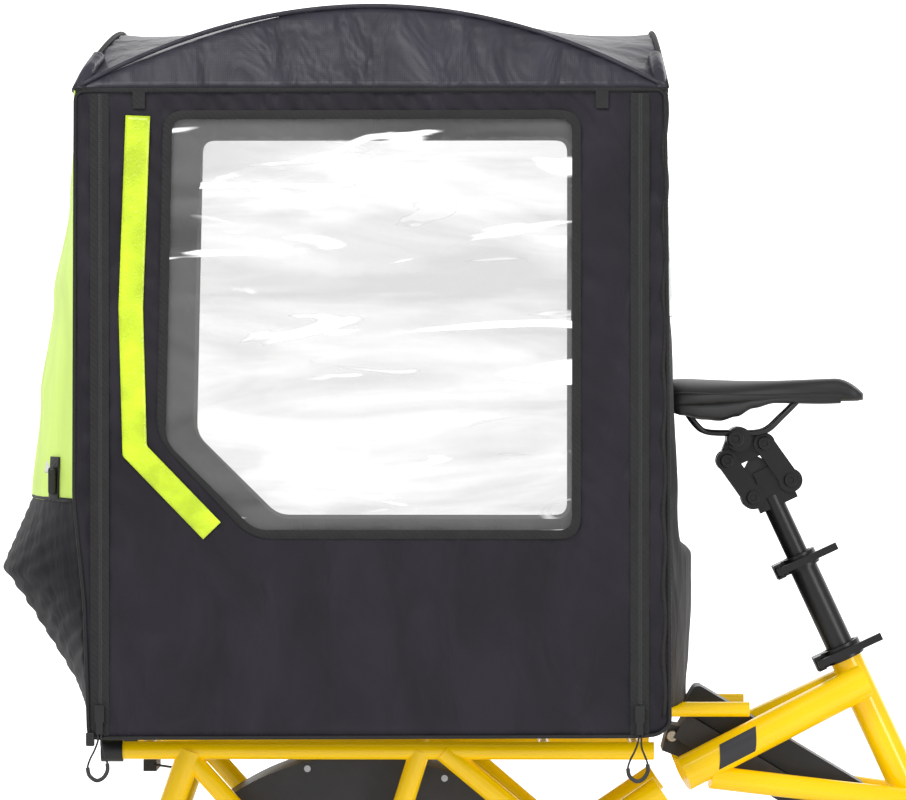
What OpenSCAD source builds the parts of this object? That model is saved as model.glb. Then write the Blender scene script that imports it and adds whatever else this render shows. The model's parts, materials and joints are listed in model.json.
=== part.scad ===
// Longtail cargo bicycle with a fabric passenger cabin over its rear rack.
// +X is forward, +Y is the rider's left, +Z is up. The origin is on the ground, at the middle of the
// bicycle's length and width.

/* [Wheels] */
// Outer radius of both tyres
wheel_r = 263; // [219:1:316]
// Width of both tyres
tyre_w = 61; // [50:1:64]
// Distance between the two axles
wheelbase = 1275; // [1250:5:1530]
// Spokes in each wheel
spoke_count = 24; // [16:4:32]

/* [Drive] */
// Height of the crank axle above the ground
crank_h = 288; // [270:1:300]
// Distance from the rear axle forward to the crank axle
crank_x = 690; // [680:1:700]
// Length of each crank arm
crank_l = 170; // [141:1:175]
// Teeth on the chainring
ring_teeth = 36; // [36:18:36]
// Teeth on the rear sprocket
sprocket_teeth = 18; // [18:1:18]
// Pitch of the chain
chain_pitch = 12.7; // [12.7:0.1:12.7]

/* [Rack] */
// Radius of the lower rack rails
rail_r = 10.75; // [9:0.25:12]
// Distance from the centre plane to each lower rail
rail_y = 98; // [94:1:110]
// Radius of the upper deck rails
deck_rail_r = 9; // [7.5:0.5:10]
// Distance from the centre plane to each deck rail
deck_rail_y = 80; // [74:1:84]
// Radius of the struts under the rails
strut_r = 13; // [11:0.5:14]

/* [Cabin] */
// Length of the cabin along the bicycle
cabin_l = 688; // [573:1:826]
// Width of the cabin over its side panels
cabin_w = 470; // [392:2:564]
// Height of the side panels from hem to roof seam
cabin_h = 756; // [700:1:907]
// Height of the hoops' tops above the roof seam
hoop_rise = 80; // [66:1:96]
// Height of the side arches' tops above the roof seam
arch_rise = 99; // [83:1:110]
// Thickness of the coated fabric with its lining
fabric_t = 3; // [2.5:0.5:3.5]
// Thickness of the clear window film
film_t = 1; // [0.8:0.1:1.5]

/* [Seat] */
// Slope of the seat tube from the ground
seat_angle = 65; // [64:0.5:66]
// Radius of the lower seat post
lower_post_r = 16.95; // [14.1:0.05:20.35]
// Radius of the upper seat post
upper_post_r = 13.6; // [11.3:0.05:13.6]
// Length of the saddle
saddle_l = 250; // [240:1:260]
// Width of the saddle at its back
saddle_w = 142; // [120:1:160]

/* [Steering] */
// Slope of the steering axis from the ground
head_angle = 70; // [69:0.5:71]
// Distance from the steering axis forward to the front axle
fork_offset = 45; // [40:1:50]
// Travel of the suspension fork
fork_travel = 40; // [33:1:45]
// Width of the handlebar
bar_w = 640; // [600:5:768]

/* [Hidden] */
$fn = 48;
run_gap = 0.05;      // radial clearance of a shaft that turns or slides in its bore
body_gap = 0.4;      // clearance between pieces that move past each other
hair = 0.01;         // overlap that makes a cut pass right through

// Heights of the rack, worked out upward from the rear wheel
guard_gap = 21;                              // tyre to mudguard
guard_r = wheel_r + guard_gap;
rail_z = wheel_r + guard_r + rail_r - 0.75;
deck_rail_z = rail_z + 47;
board_t = 8;
deck_top = deck_rail_z + deck_rail_r + board_t;

// Cabin, measured forward from the rear axle
cabin_front = 362;
cabin_rear = cabin_front - cabin_l;
side_y = cabin_w / 2;
hem_z = rail_z + 26;
seam_z = hem_z + cabin_h;
pouch_reach = 111;                           // how far the rear pouch stands out behind the side panels
pouch_tip_x = cabin_rear - pouch_reach;
pole_r = 7;

// The whole bicycle is centred on its length
front_end = wheelbase + wheel_r;
mid_x = (front_end + pouch_tip_x) / 2;

// Steering axis: points on it are found from w, the distance up it from the front axle's level
su = [-cos(head_angle), 0, sin(head_angle)];
sf = [sin(head_angle), 0, cos(head_angle)];
front_axle = [wheelbase, 0, wheel_r];
function steer(w, u = 0, y = 0) = front_axle + w * su + (u - fork_offset) * sf + [0, y, 0];
steerer_r = 14.3;
head_w0 = wheel_r + 129;
head_w1 = head_w0 + 130;
crown_w = head_w0 - 40;
leg_y = 58;
stanchion_r = 14;

// Seat tube axis: points on it are found from s, the distance up it from its top edge
seat_top = [583, 0, rail_z + 117];
sd = [-cos(seat_angle), 0, sin(seat_angle)];
sn = [sin(seat_angle), 0, cos(seat_angle)];
function seat(s, n = 0, y = 0) = seat_top + s * sd + n * sn + [0, y, 0];
seat_tube_r = lower_post_r + 2.6;
lower_post_up = 124;                         // length of lower post showing above the seat tube
upper_post_up = 68;                          // length of upper post showing above the lower post

// Main joints of the frame
motor_r = 60;
motor_half = 44;
crank_c = [crank_x, 0, crank_h];
beam_top = seat(-42) + [8, 0, 0];
beam_mid = [387, 78, rail_z - 30];
dropout_y = 74;
axle_r = 6;
stand_pivot = [430, 0, crank_h - 43];

// Centres of the pitch circles and lines of the chain
ring_pitch_r = chain_pitch / 2 / sin(180 / ring_teeth);
sprocket_pitch_r = chain_pitch / 2 / sin(180 / sprocket_teeth);
chain_y = -50;

module placed() { translate([-mid_x, 0, 0]) children(); }

// A round bar from p to q
module bar(p, q, r) {
    v = q - p;
    l = norm(v);
    translate(p) rotate([0, acos(v[2] / l), atan2(v[1], v[0])]) cylinder(h = l, r = r);
}

// A copy on each side of the centre plane
module both_sides() { children(); mirror([0, 1, 0]) children(); }

// Turns a part drawn along Z so that it stands along the seat tube or the steering axis
module along_seat(s, y = 0) { translate(seat(s, 0, y)) rotate([0, seat_angle - 90, 0]) children(); }
module along_steer(w, u = 0, y = 0) { translate(steer(w, u, y)) rotate([0, head_angle - 90,
    0]) children(); }

// A disc or drum about the Y axis, centred at c and reaching from y0 to y1
module drum(c, r, y0, y1) { translate([c[0], y1, c[2]]) rotate([90, 0, 0]) cylinder(h = y1 - y0, r = r); }

// A profile in X and Z, extruded from y0 to y1
module slab(y0, y1) { translate([0, y1, 0]) rotate([90, 0, 0]) linear_extrude(y1 - y0) children(); }

// ---------- frame ----------

module head_tube() color("gold") placed() difference() {
    along_steer(head_w0) cylinder(h = head_w1 - head_w0, r = 24);
    along_steer(head_w0 - hair) cylinder(h = head_w1 - head_w0 + 2 * hair, r = steerer_r + run_gap);
}

module down_tube() color("gold") placed() difference() {
    bar(steer((head_w0 + head_w1) / 2) - [22, 0, 12], crank_c + [92, 0, 58], 24);
    bar(steer(head_w0 - 20), steer(head_w1 + 20), 24);
    drum(crank_c + [88, 0, 52], 34, -36, 36);
}

module seat_tube() color("gold") placed() difference() {
    bar(seat(0), seat(-338), seat_tube_r);
    bar(seat(hair), seat(-320), lower_post_r + run_gap);
}

// Thick beams from the seat tube back to the stays, with the lower beams that brace them
module side_beams() color("gold") placed() difference() {
    both_sides() {
        bar(beam_top + [0, 32, 0], beam_mid, 21);
        bar(beam_mid + [34, -8, -4], [668, 36, rail_z - 66], 14);
    }
    bar(seat(20), seat(-338), seat_tube_r);
}

module stay_tubes() both_sides() {
    bar(beam_mid - [26, -1, 18], [48, 88, wheel_r + 32], 17);
    bar([48, 84, wheel_r + 4], crank_c + [-40, 30, -6], 12);
}
module dropout_plates() both_sides() slab(dropout_y, dropout_y + 8)
    translate([10, wheel_r + 6]) square([92, 76], center = true);
module rear_stays() color("gold") placed() {
    difference() {
        stay_tubes();
        drum(crank_c, motor_r, -motor_half, motor_half);
        both_sides() bar(beam_top + [0, 32, 0], beam_mid, 21);
    }
    both_sides() {
        difference() {
            slab(44, 52) translate([stand_pivot[0], stand_pivot[2] + 15]) square([34, 50], center = true);
            drum(stand_pivot, 9 + run_gap, 43, 53);
        }
        drum([0, 0, wheel_r], axle_r, -hair, dropout_y + 10);
    }
    difference() {
        dropout_plates();
        both_sides() drum([0, 0, wheel_r], axle_r + run_gap, dropout_y - 1, dropout_y + 9);
    }
}

// Lower rails, and the deck rails above them that run on to the side beams
module rail_tubes() both_sides() {
    bar([cabin_rear + 20, rail_y, rail_z], [352, rail_y, rail_z], rail_r);
    bar([cabin_rear + 26, deck_rail_y, deck_rail_z], [468, deck_rail_y - 18, deck_rail_z], deck_rail_r);
}
module rack_rails() color("gold") placed() rail_tubes();

tail_top = [cabin_rear + 123, rail_y, rail_z];
tail_foot = [cabin_rear + 43, rail_y, rail_z - 227];
module tail_tubes() both_sides() {
    bar(tail_top, tail_foot, strut_r + 2);
    bar([72, rail_y, rail_z], [-12, rail_y - 6, wheel_r + 27], strut_r - 0.5);
}
module tail_struts() color("gold") placed() difference() {
    tail_tubes();
    rail_tubes();
    dropout_plates();
}

module mid_struts() color("gold") placed() difference() {
    both_sides() {
        bar([-212, rail_y, rail_z], [14, rail_y - 6, wheel_r + 43], strut_r - 1.5);
        bar([100, rail_y, rail_z], [434, rail_y - 30, crank_h - 13], strut_r);
    }
    rail_tubes();
    tail_tubes();
    stay_tubes();
    dropout_plates();
}

// Cross tubes of the rack, and the low bumper that the bicycle stands on when parked on its tail
module cross_tubes() {
    bar(tail_foot, tail_foot - [0, 2 * rail_y, 0], strut_r - 2);
    for (x = [cabin_rear + 70, 220, 330]) bar([x, rail_y, rail_z + 3], [x, -rail_y, rail_z + 3], 8);
}
module tail_bumper() color("gold") placed() difference() {
    cross_tubes();
    rail_tubes();
    tail_tubes();
}

// Board over the deck rails, drilled for seats or a basket
bolt_dx = 200;
bolt_dy = 100;
bolt_r = 3.3;
module deck_board() color("dimgray") placed() difference() {
    translate([cabin_rear + 38, -88, deck_top - board_t]) cube([cabin_l - 71, 176, board_t]);
    for (x = [-bolt_dx / 2, bolt_dx / 2], y = [-bolt_dy / 2, bolt_dy / 2])
        translate([x, y, deck_top - board_t - hair]) cylinder(h = board_t + 2 * hair, r = bolt_r);
}

module rail_end_caps() color("#222222") placed() both_sides() difference() {
    bar([cabin_rear + 16, rail_y, rail_z], [cabin_rear + 42, rail_y, rail_z], rail_r + 3);
    bar([cabin_rear + 20, rail_y, rail_z], [cabin_rear + 43, rail_y, rail_z], rail_r);
}

// Lamp under the back of the rack, with its bracket and lead
module rear_light() color("crimson") placed() difference() {
    union() {
        translate([cabin_rear + 60, -31, rail_z - 32]) cube([16, 62, 14]);
        translate([cabin_rear + 66, -7, rail_z - 19]) cube([8, 14, 15.5]);
        bar([cabin_rear + 72, -28, rail_z - 24], tail_top - [4, 2 * rail_y - 10, 24], 1.5);
    }
    cross_tubes();
    tail_tubes();
}

module motor() color("#2c2d30") placed() difference() {
    union() {
        drum(crank_c, motor_r, -motor_half, motor_half);
        hull() {
            drum(crank_c + [30, 0, 10], 46, -36, 36);
            drum(crank_c + [88, 0, 52], 34, -36, 36);
        }
    }
    drum(crank_c, 12 + run_gap, -60, 60);
}

// Battery and dock lie along one slope, between the side beams
battery_slope = 31;
battery_front = [616, 0, rail_z - 51];
module on_battery() { translate(battery_front) rotate([0, battery_slope, 0]) children(); }
module battery() color("#46444a") placed() on_battery()
    translate([-245, 0, -36]) rotate([90, 0, 0]) linear_extrude(56, center = true)
        offset(8) translate([8, 8]) square([229, 20]);
module battery_dock() color("#3b393f") placed() {
    on_battery() translate([-236, -39, -70]) cube([216, 78, 33]);
    slab(-30, 30) polygon([[364, rail_z - 6], [402, rail_z - 20], [418, rail_z + 20], [372, rail_z + 25]]);
    both_sides() drum([376, 0, rail_z + 12], 7.5, 29, 34);
}

// Mudguard between the two side guards
module rear_mudguard() color("#303136") placed() translate([0, 0, wheel_r]) rotate([90, 0, 0])
    rotate([0, 0, 14]) rotate_extrude(angle = 144) translate([guard_r - 3, -57]) square([3, 114]);
guard_chord = 94;                            // height of the guards' lower edge above the axle
module side_guards() color("#3a3b40") placed() both_sides() slab(57.2, 59.4) intersection() {
    translate([0, wheel_r]) circle(r = guard_r);
    translate([-guard_r, wheel_r + guard_chord]) square([2 * guard_r, guard_r]);
}
module guard_screws() color("#1a1a1a") placed() both_sides() for (a = [33.6 : 35 : 140])
    translate([(guard_r - 8) * cos(a), 60.8, wheel_r + (guard_r - 8) * sin(a)])
        rotate([90, 0, 0]) cylinder(h = 1.4, r = 4);

// Brake caliper over the left disc, on a tab of the stay
disc_r = 90;
module rear_caliper() color("#202022") placed() difference() {
    translate([35, 40, wheel_r + 52]) cube([42, 28, 34]);
    translate([34, 49, wheel_r + 50]) cube([45, 5, 34]);
}

// ---------- cabin ----------

// Rounded outline of a side panel, in X and Z
function side_outline() = [[cabin_rear, seam_z - 1], [cabin_rear - 2, seam_z - 477],
    [cabin_rear + 10, seam_z - 599], [cabin_rear + 15, hem_z + 1], [cabin_front - 31, hem_z + 4],
    [cabin_front - 10, hem_z + 6], [cabin_front + 4, hem_z + 17], [cabin_front + 2, seam_z - 361],
    [cabin_front - 2, seam_z + 1]];
window_z0 = hem_z + 243;
window_z1 = seam_z - 33;
window_x0 = cabin_rear + 112;
window_x1 = cabin_front - 109;
window_cut = 104;                            // size of the window's slanted lower rear corner
module window_shape(grow) offset(14 + grow) offset(-14)
    polygon([[window_x0, window_z1], [window_x0 - 8, window_z0 + window_cut],
        [window_x0 + window_cut - 8, window_z0], [window_x1, window_z0], [window_x1, window_z1]]);

module side_panel() slab(-side_y, -side_y + fabric_t) difference() {
    polygon(side_outline());
    window_shape(0);
}
module side_panel_right() color("#37353b") placed() side_panel();
module side_panel_left() color("#37353b") placed() mirror([0, 1, 0]) side_panel();

// Height of the roof over the seam at t, from -1 at the rear to 1 at the front, and v across
function arch_in(t) = 1 - 0.2 * (1 - t * t);
function ridge(t) = hoop_rise + 28 * pow(1 - t * t, 3) - 16 * (1 - t * t) * t * t;
function roof_h(t, v) = let (a = arch_rise * (1 - t * t), k = arch_in(t), w = abs(v))
    w <= k ? a + (ridge(t) - a) * (1 - pow(w / k, 2)) : a * (1 - w) / (1 - k);

// A closed sheet from two grids of points, each rows by cols, with its rim joined
module sheet_between(under, over, rows, cols) {
    n = rows * cols;
    function at(i, j) = i * cols + j;
    polyhedron(points = concat(under, over), faces = concat(
        [for (i = [0 : rows - 2], j = [0 : cols - 2]) [at(i, j), at(i + 1, j), at(i + 1, j + 1)]],
        [for (i = [0 : rows - 2], j = [0 : cols - 2]) [at(i, j), at(i + 1, j + 1), at(i, j + 1)]],
        [for (i = [0 : rows - 2], j = [0 : cols - 2]) [n + at(i, j), n + at(i + 1, j + 1),
            n + at(i + 1, j)]],
        [for (i = [0 : rows - 2], j = [0 : cols - 2]) [n + at(i, j), n + at(i, j + 1), n + at(i + 1,
            j + 1)]],
        [for (i = [0 : rows - 2]) [at(i, 0), n + at(i, 0), n + at(i + 1, 0), at(i + 1, 0)]],
        [for (i = [0 : rows - 2]) [at(i, cols - 1), at(i + 1, cols - 1), n + at(i + 1, cols - 1),
            n + at(i, cols - 1)]],
        [for (j = [0 : cols - 2]) [at(0, j), at(0, j + 1), n + at(0, j + 1), n + at(0, j)]],
        [for (j = [0 : cols - 2]) [at(rows - 1, j), n + at(rows - 1, j), n + at(rows - 1, j + 1),
            at(rows - 1, j + 1)]]));
}

roof_rows = 21;
roof_cols = 25;
function roof_grid(drop) = [for (i = [0 : roof_rows - 1], j = [0 : roof_cols - 1])
    let (t = 2 * i / (roof_rows - 1) - 1, v = 2 * j / (roof_cols - 1) - 1)
    [cabin_rear + (t + 1) / 2 * cabin_l, v * side_y, seam_z + 1.5 + roof_h(t, v) - drop]];
module roof() color("#4a4850") placed()
    sheet_between(roof_grid(0), roof_grid(-fabric_t), roof_rows, roof_cols);

// A panel across the cabin's end. rows holds [height, x at the corners, x at the middle].
end_cols = 13;
end_y = side_y - fabric_t - body_gap;
function end_grid(rows, dx) = [for (r = rows, j = [0 : end_cols - 1])
    let (v = 2 * j / (end_cols - 1) - 1)
    [r[1] + (r[2] - r[1]) * (1 - v * v) + dx, v * end_y, r[0]]];
module end_panel(rows) sheet_between(end_grid(rows, fabric_t), end_grid(rows, 0), len(rows), end_cols);

pouch_top_z = hem_z + 278;
function back_rows() = [[seam_z, cabin_rear, cabin_rear - 2], [seam_z - 119, cabin_rear - 1,
    cabin_rear - 22],
    [seam_z - 240, cabin_rear - 1, cabin_rear - 46], [seam_z - 363, cabin_rear - 1, cabin_rear - 63],
    [pouch_top_z, cabin_rear - 2, cabin_rear - 74]];
function pouch_rows() = [[pouch_top_z - 1, cabin_rear - 1, cabin_rear - 72],
    [hem_z + 191, cabin_rear + 6, pouch_tip_x], [hem_z + 60, cabin_rear + 12, cabin_rear - 18],
    [hem_z + 2, cabin_rear + 15, cabin_rear + 8]];
// The front panel dips in at the middle, behind the saddle
function front_rows() = [[seam_z, cabin_front - 4, cabin_front - 1], [seam_z - 90, cabin_front - 3,
    cabin_front + 6],
    [seam_z - 200, cabin_front - 3, cabin_front + 8], [seam_z - 268, cabin_front - 3, cabin_front + 2],
    [seam_z - 300, cabin_front - 3, cabin_front - 56], [seam_z - 440, cabin_front - 3, cabin_front - 56],
    [seam_z - 500, cabin_front - 3, cabin_front - 8], [seam_z - 600, cabin_front - 3, cabin_front + 34],
    [hem_z + 60, cabin_front - 3, cabin_front + 34], [hem_z + 34, cabin_front - 4, cabin_front + 28]];
module rear_panel() color("#dcf58a") placed() end_panel(back_rows());
module rear_pouch() color("#37353b") placed() end_panel(pouch_rows());
module front_panel() color("#37353b") placed() end_panel(front_rows());

// Clear films sewn behind the side windows
module window_films() color("#e8ecee", 0.4) placed() both_sides()
    slab(-side_y + fabric_t + 0.05, -side_y + fabric_t + film_t) window_shape(6);

// Poles that hold the fabric up: two hoops, two side arches, four legs and the bars they stand on
hoop_y = side_y - 17;
pole_x = [cabin_rear + 28, cabin_front - 23];
leg_top = seam_z - 14;
module arc_pole(span, rise) {
    big = (span * span / 4 + rise * rise) / (2 * rise);
    half = asin(span / 2 / big);
    translate([0, 0, rise - big]) rotate([90, 0, 0]) rotate([0, 0, 90 - half])
        rotate_extrude(angle = 2 * half) translate([big, 0]) circle(r = pole_r, $fn = 24);
}
module cabin_poles() color("#2a2a2d") placed() {
    for (x = pole_x) {
        both_sides() bar([x, hoop_y, deck_top + 10], [x, hoop_y, leg_top - 1], pole_r);
        bar([x, hoop_y + 8, deck_top + 1], [x, -hoop_y - 8, deck_top + 1], 8);
        translate([x, 0, leg_top + 8]) rotate([0, 0, 90]) arc_pole(2 * hoop_y - 30, hoop_rise - 14);
    }
    both_sides() translate([(pole_x[0] + pole_x[1]) / 2, -hoop_y + 2, leg_top])
        rotate([-22, 0, 0]) arc_pole(pole_x[1] - pole_x[0] - 40, arch_rise - 16);
}

// ---------- zip sliders and their cord pulls ----------

zip_x = [cabin_rear + 28, cabin_front - 31];
zip_stand = 2.6;                             // height of the zip's teeth over the panel
slider_z = hem_z + 20;
// Route of a pull's cord under its slider, as [forward, up]
PULL_ROUTE = [[-2, 0], [-2, -8], [-6, -19], [-11, -29], [-14, -39], [-12, -48], [-4, -54], [4, -51],
    [9, -43], [9, -34], [6, -25], [2, -14], [2, 0]];
pull_r = 1.2;

module slider(x) translate([x, -side_y - zip_stand, slider_z]) {
    translate([-5.5, -4, 0]) cube([11, 4, 20]);
    translate([-4, -4, -14]) cube([8, 2.4, 14 + hair]);
}
module slider_right_rear() color("#17171a") placed() slider(zip_x[0]);
module slider_right_front() color("#17171a") placed() slider(zip_x[1]);
module slider_left_rear() color("#17171a") placed() mirror([0, 1, 0]) slider(zip_x[0]);
module slider_left_front() color("#17171a") placed() mirror([0, 1, 0]) slider(zip_x[1]);

// Points on a smooth curve through p, two for each span
function curve(p) = let (n = len(p)) concat([p[0]], [for (i = [0 : n - 2], f = [0.5, 1])
    let (a = p[max(i - 1, 0)], b = p[i], c = p[i + 1], d = p[min(i + 2, n - 1)])
    f == 1 ? c : (-a + 9 * b + 9 * c - d) / 16]);

// A round cord of radius r along the flat route p in X and Z
module cord(p, r, sides = 8) {
    n = len(p);
    rings = [for (i = [0 : n - 1]) let (
        t = p[min(i + 1, n - 1)] - p[max(i - 1, 0)], u = [-t[1], t[0]] / norm(t))
        for (k = [0 : sides - 1]) let (a = 360 * k / sides)
        [p[i][0] + r * cos(a) * u[0], r * sin(a), p[i][1] + r * cos(a) * u[1]]];
    polyhedron(points = rings, faces = concat(
        [[for (k = [0 : sides - 1]) k]],
        [[for (k = [sides - 1 : -1 : 0]) (n - 1) * sides + k]],
        [for (i = [0 : n - 2], k = [0 : sides - 1]) let (m = (k + 1) % sides)
            [i * sides + k, (i + 1) * sides + k, (i + 1) * sides + m, i * sides + m]]));
}
module pull(x) translate([x, -side_y - zip_stand - 2.8, slider_z - 14 - hair]) cord(curve(PULL_ROUTE),
    pull_r);
module pull_right_rear() color("#26262a") placed() pull(zip_x[0]);
module pull_right_front() color("#26262a") placed() pull(zip_x[1]);
module pull_left_rear() color("#26262a") placed() mirror([0, 1, 0]) pull(zip_x[0]);
module pull_left_front() color("#26262a") placed() mirror([0, 1, 0]) pull(zip_x[1]);

// ---------- wheels ----------

bead_r = wheel_r - 56;                       // where the tyre sits on its rim
rim_depth = 13;
module tyre(c) translate(c) rotate([90, 0, 0]) rotate_extrude() difference() {
    translate([wheel_r - tyre_w / 2, 0]) circle(r = tyre_w / 2);
    translate([wheel_r - tyre_w / 2, 0]) circle(r = tyre_w / 2 - 4.5);
    translate([0, -tyre_w]) square([bead_r, 2 * tyre_w]);
}
// Rim, spokes, hub shell and brake disc of one wheel, about an axle through c
module wheel(c, hub_y0, hub_y1, disc_y) {
    translate(c) rotate([90, 0, 0]) rotate_extrude() translate([bead_r - rim_depth,
        -19]) square([rim_depth - 0.1, 38]);
    difference() {
        union() {
            drum(c, 20, hub_y0, hub_y1);
            drum(c, 30, -30, -26);
            drum(c, 30, 26, 30);
        }
        drum(c, axle_r + run_gap, hub_y0 - 1, hub_y1 + 1);
    }
    for (i = [0 : spoke_count - 1]) let (a = 360 * i / spoke_count, y = i % 2 == 0 ? 28 : -28)
        bar(c + [30.4 * cos(a), y, 30.4 * sin(a)],
            c + [(bead_r - rim_depth - 0.4) * cos(a), y / 7, (bead_r - rim_depth - 0.4) * sin(a)], 1);
    difference() {
        drum(c, disc_r, disc_y, disc_y + 1.8);
        drum(c, disc_r - 16, disc_y - 1, disc_y + 3);
    }
    difference() {
        drum(c, disc_r - 16.2, disc_y - 0.4, disc_y + 2.2);
        drum(c, 20.2, disc_y - 1, disc_y + 3);
        for (a = [0 : 60 : 300]) translate([48 * cos(a), 0, 48 * sin(a)]) drum(c, 15, disc_y - 1,
            disc_y + 3);
    }
}
rear_c = [0, 0, wheel_r];
module rear_tyre() color("#202022") placed() tyre(rear_c);
module rear_wheel() color("#2b2b2e") placed() wheel(rear_c, -37, 60, 50.6);
module front_tyre() color("#202022") placed() tyre(front_axle);
module front_wheel() color("#2b2b2e") placed() wheel(front_axle, -40, 40, 33);

// ---------- drive ----------

// Outline of a chain wheel with n teeth, centred on the origin
module toothed(n, pitch_r) polygon([for (i = [0 : n - 1], k = [[-0.36, -2.6], [-0.14, 3], [0.14, 3],
    [0.36, -2.6]])
    let (a = 360 * (i + k[0]) / n) (pitch_r + k[1]) * [cos(a), sin(a)]]);
tooth_half = 1.1;
module sprocket() color("silver") placed() difference() {
    union() {
        slab(chain_y - tooth_half, chain_y + tooth_half) translate([0,
            wheel_r]) toothed(sprocket_teeth, sprocket_pitch_r);
        drum(rear_c, 18, chain_y - 9, -38);
    }
    drum(rear_c, axle_r + run_gap, chain_y - 10, -37);
}
arm_y = -72;
pedal_gap = 0.5;
module crank_arm(dir, y) {
    slab(y - 6, y + 6) translate([crank_x, crank_h]) {
        circle(r = 17);
        translate([dir > 0 ? 0 : -crank_l, -11]) square([crank_l, 22]);
        translate([dir * crank_l, 0]) circle(r = 14);
    }
    drum(crank_c + [dir * crank_l, 0, 0], 4, min(y, y * 2.2), max(y, y * 2.2));
}
module cranks() color("#1f1f22") placed() {
    drum(crank_c, 12, arm_y - 2, -arm_y + 2);
    slab(chain_y - tooth_half, chain_y + tooth_half) translate([crank_x, crank_h]) toothed(ring_teeth,
        ring_pitch_r);
    drum(crank_c, 26, arm_y + 5, chain_y);
    crank_arm(1, arm_y);
    crank_arm(-1, -arm_y);
}
plate_in = 2.2;
plate_out = 3.4;
module chain_loop(grow) hull() {
    translate([0, wheel_r]) circle(r = sprocket_pitch_r + grow);
    translate([crank_x, crank_h]) circle(r = ring_pitch_r + grow);
}
chain_tilt = [asin((crank_h - wheel_r + ring_pitch_r - sprocket_pitch_r) / crank_x),
    asin((crank_h - wheel_r - ring_pitch_r + sprocket_pitch_r) / crank_x)];
module chain() color("#5a5a5e") placed() {
    for (y = [chain_y - plate_out, chain_y + plate_in]) slab(y, y + plate_out - plate_in) difference() {
        chain_loop(3.6);
        chain_loop(-3.6);
    }
    slab(chain_y - plate_out, chain_y + plate_out) {
        translate([0, wheel_r + sprocket_pitch_r]) rotate(chain_tilt[0]) translate([52,
            -2.6]) square([crank_x - 150, 5.2]);
        translate([0, wheel_r - sprocket_pitch_r]) rotate(chain_tilt[1]) translate([52,
            -2.6]) square([crank_x - 150, 5.2]);
    }
}
module pedal(dir, side) difference() {
    slab(min(side * 84, side * 154), max(side * 84, side * 154))
        translate([crank_x + dir * crank_l, crank_h]) square([92, 24], center = true);
    drum(crank_c + [dir * crank_l, 0, 0], 4 + run_gap, min(side * 83, side * 158.5), max(side * 83,
        side * 158.5));
    for (x = [-30, 30]) translate([crank_x + dir * crank_l + x, side * 119, crank_h]) cube([18, 46,
        30], center = true);
}
module pedal_right() color("#222225") placed() pedal(1, -1);
module pedal_left() color("#222225") placed() pedal(-1, 1);

// Two-legged stand. It leans forward against its stop when it is down.
module centre_stand() color("#2a2a2d") placed() {
    drum(stand_pivot, 9, -64, 64);
    both_sides() {
        bar(stand_pivot + [0, 60, 0], [stand_pivot[0] + 20, 150, 9], 9);
        translate([stand_pivot[0] + 20, 150, 0]) cylinder(h = 14, r = 14);
    }
}

// ---------- fork and steering ----------

stanchion_low = 85;                          // lower end of the stanchions, above the axle's level
leg_top_w = wheel_r - 38;
hinge_w = head_w1 + 38;                      // hinge of the folding handlepost
post_w = hinge_w + 268;
module fork_crown() color("#202023") placed() {
    both_sides() bar(steer(stanchion_low, fork_offset, leg_y), steer(crown_w + 20, fork_offset, leg_y),
        stanchion_r);
    along_steer(crown_w) translate([-17, -20, 0]) cube([fork_offset + 20, 40, 30]);
    along_steer(crown_w) translate([fork_offset - 20, -leg_y - 19, 0]) cube([40, 2 * leg_y + 38, 36]);
    bar(steer(crown_w + 30), steer(head_w1 + 16), steerer_r);
    along_steer(head_w1 + 3) translate([-24, -21, 0]) cube([48, 42, 20]);
    difference() {
        for (y = [-21, 12.2]) along_steer(head_w1 + 20) translate([-12, y, 0]) cube([24, 8.8, 30]);
        drum(steer(hinge_w), 4 + run_gap, -30, 30);
    }
}
module fork_legs() color("#26262a") placed() {
    both_sides() difference() {
        bar(steer(-16, fork_offset, leg_y), steer(leg_top_w, fork_offset, leg_y), 17.5);
        bar(steer(stanchion_low - fork_travel - 4, fork_offset, leg_y), steer(leg_top_w + 2,
            fork_offset, leg_y), stanchion_r + run_gap);
        drum(front_axle, axle_r + run_gap, 30, 80);
    }
    both_sides() bar(steer(leg_top_w - 14, fork_offset + 25, leg_y), steer(wheel_r + 24,
        fork_offset + 25, 34), 8.5);
    bar(steer(wheel_r + 24, fork_offset + 25, -36), steer(wheel_r + 24, fork_offset + 25, 36), 8.5);
    drum(front_axle, axle_r, -76, 76);
}
module handlepost() color("#232326") placed() {
    drum(steer(hinge_w), 4, -21, 21);
    drum(steer(hinge_w), 13, -11.8, 11.8);
    along_steer(hinge_w) translate([-11, -11, -2]) cube([22, 22, 30]);
    bar(steer(hinge_w + 24), steer(post_w), 17);
    difference() {
        union() {
            along_steer(post_w - 13) translate([4, -13, 0]) cube([58, 26, 29]);
            drum(bar_c, 21, -24, 24);
        }
        drum(bar_c, 12, -25, 25);
    }
}
bar_c = steer(post_w + 2, 70);
grip_b = bar_c + [-30, 170, 12];
grip_e = [bar_c[0] - 100, bar_w / 2, bar_c[2] + 8];
grip_v = (grip_e - grip_b) / norm(grip_e - grip_b);
lever_p = grip_b + 10 * grip_v + [46, 24, -4];
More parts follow.
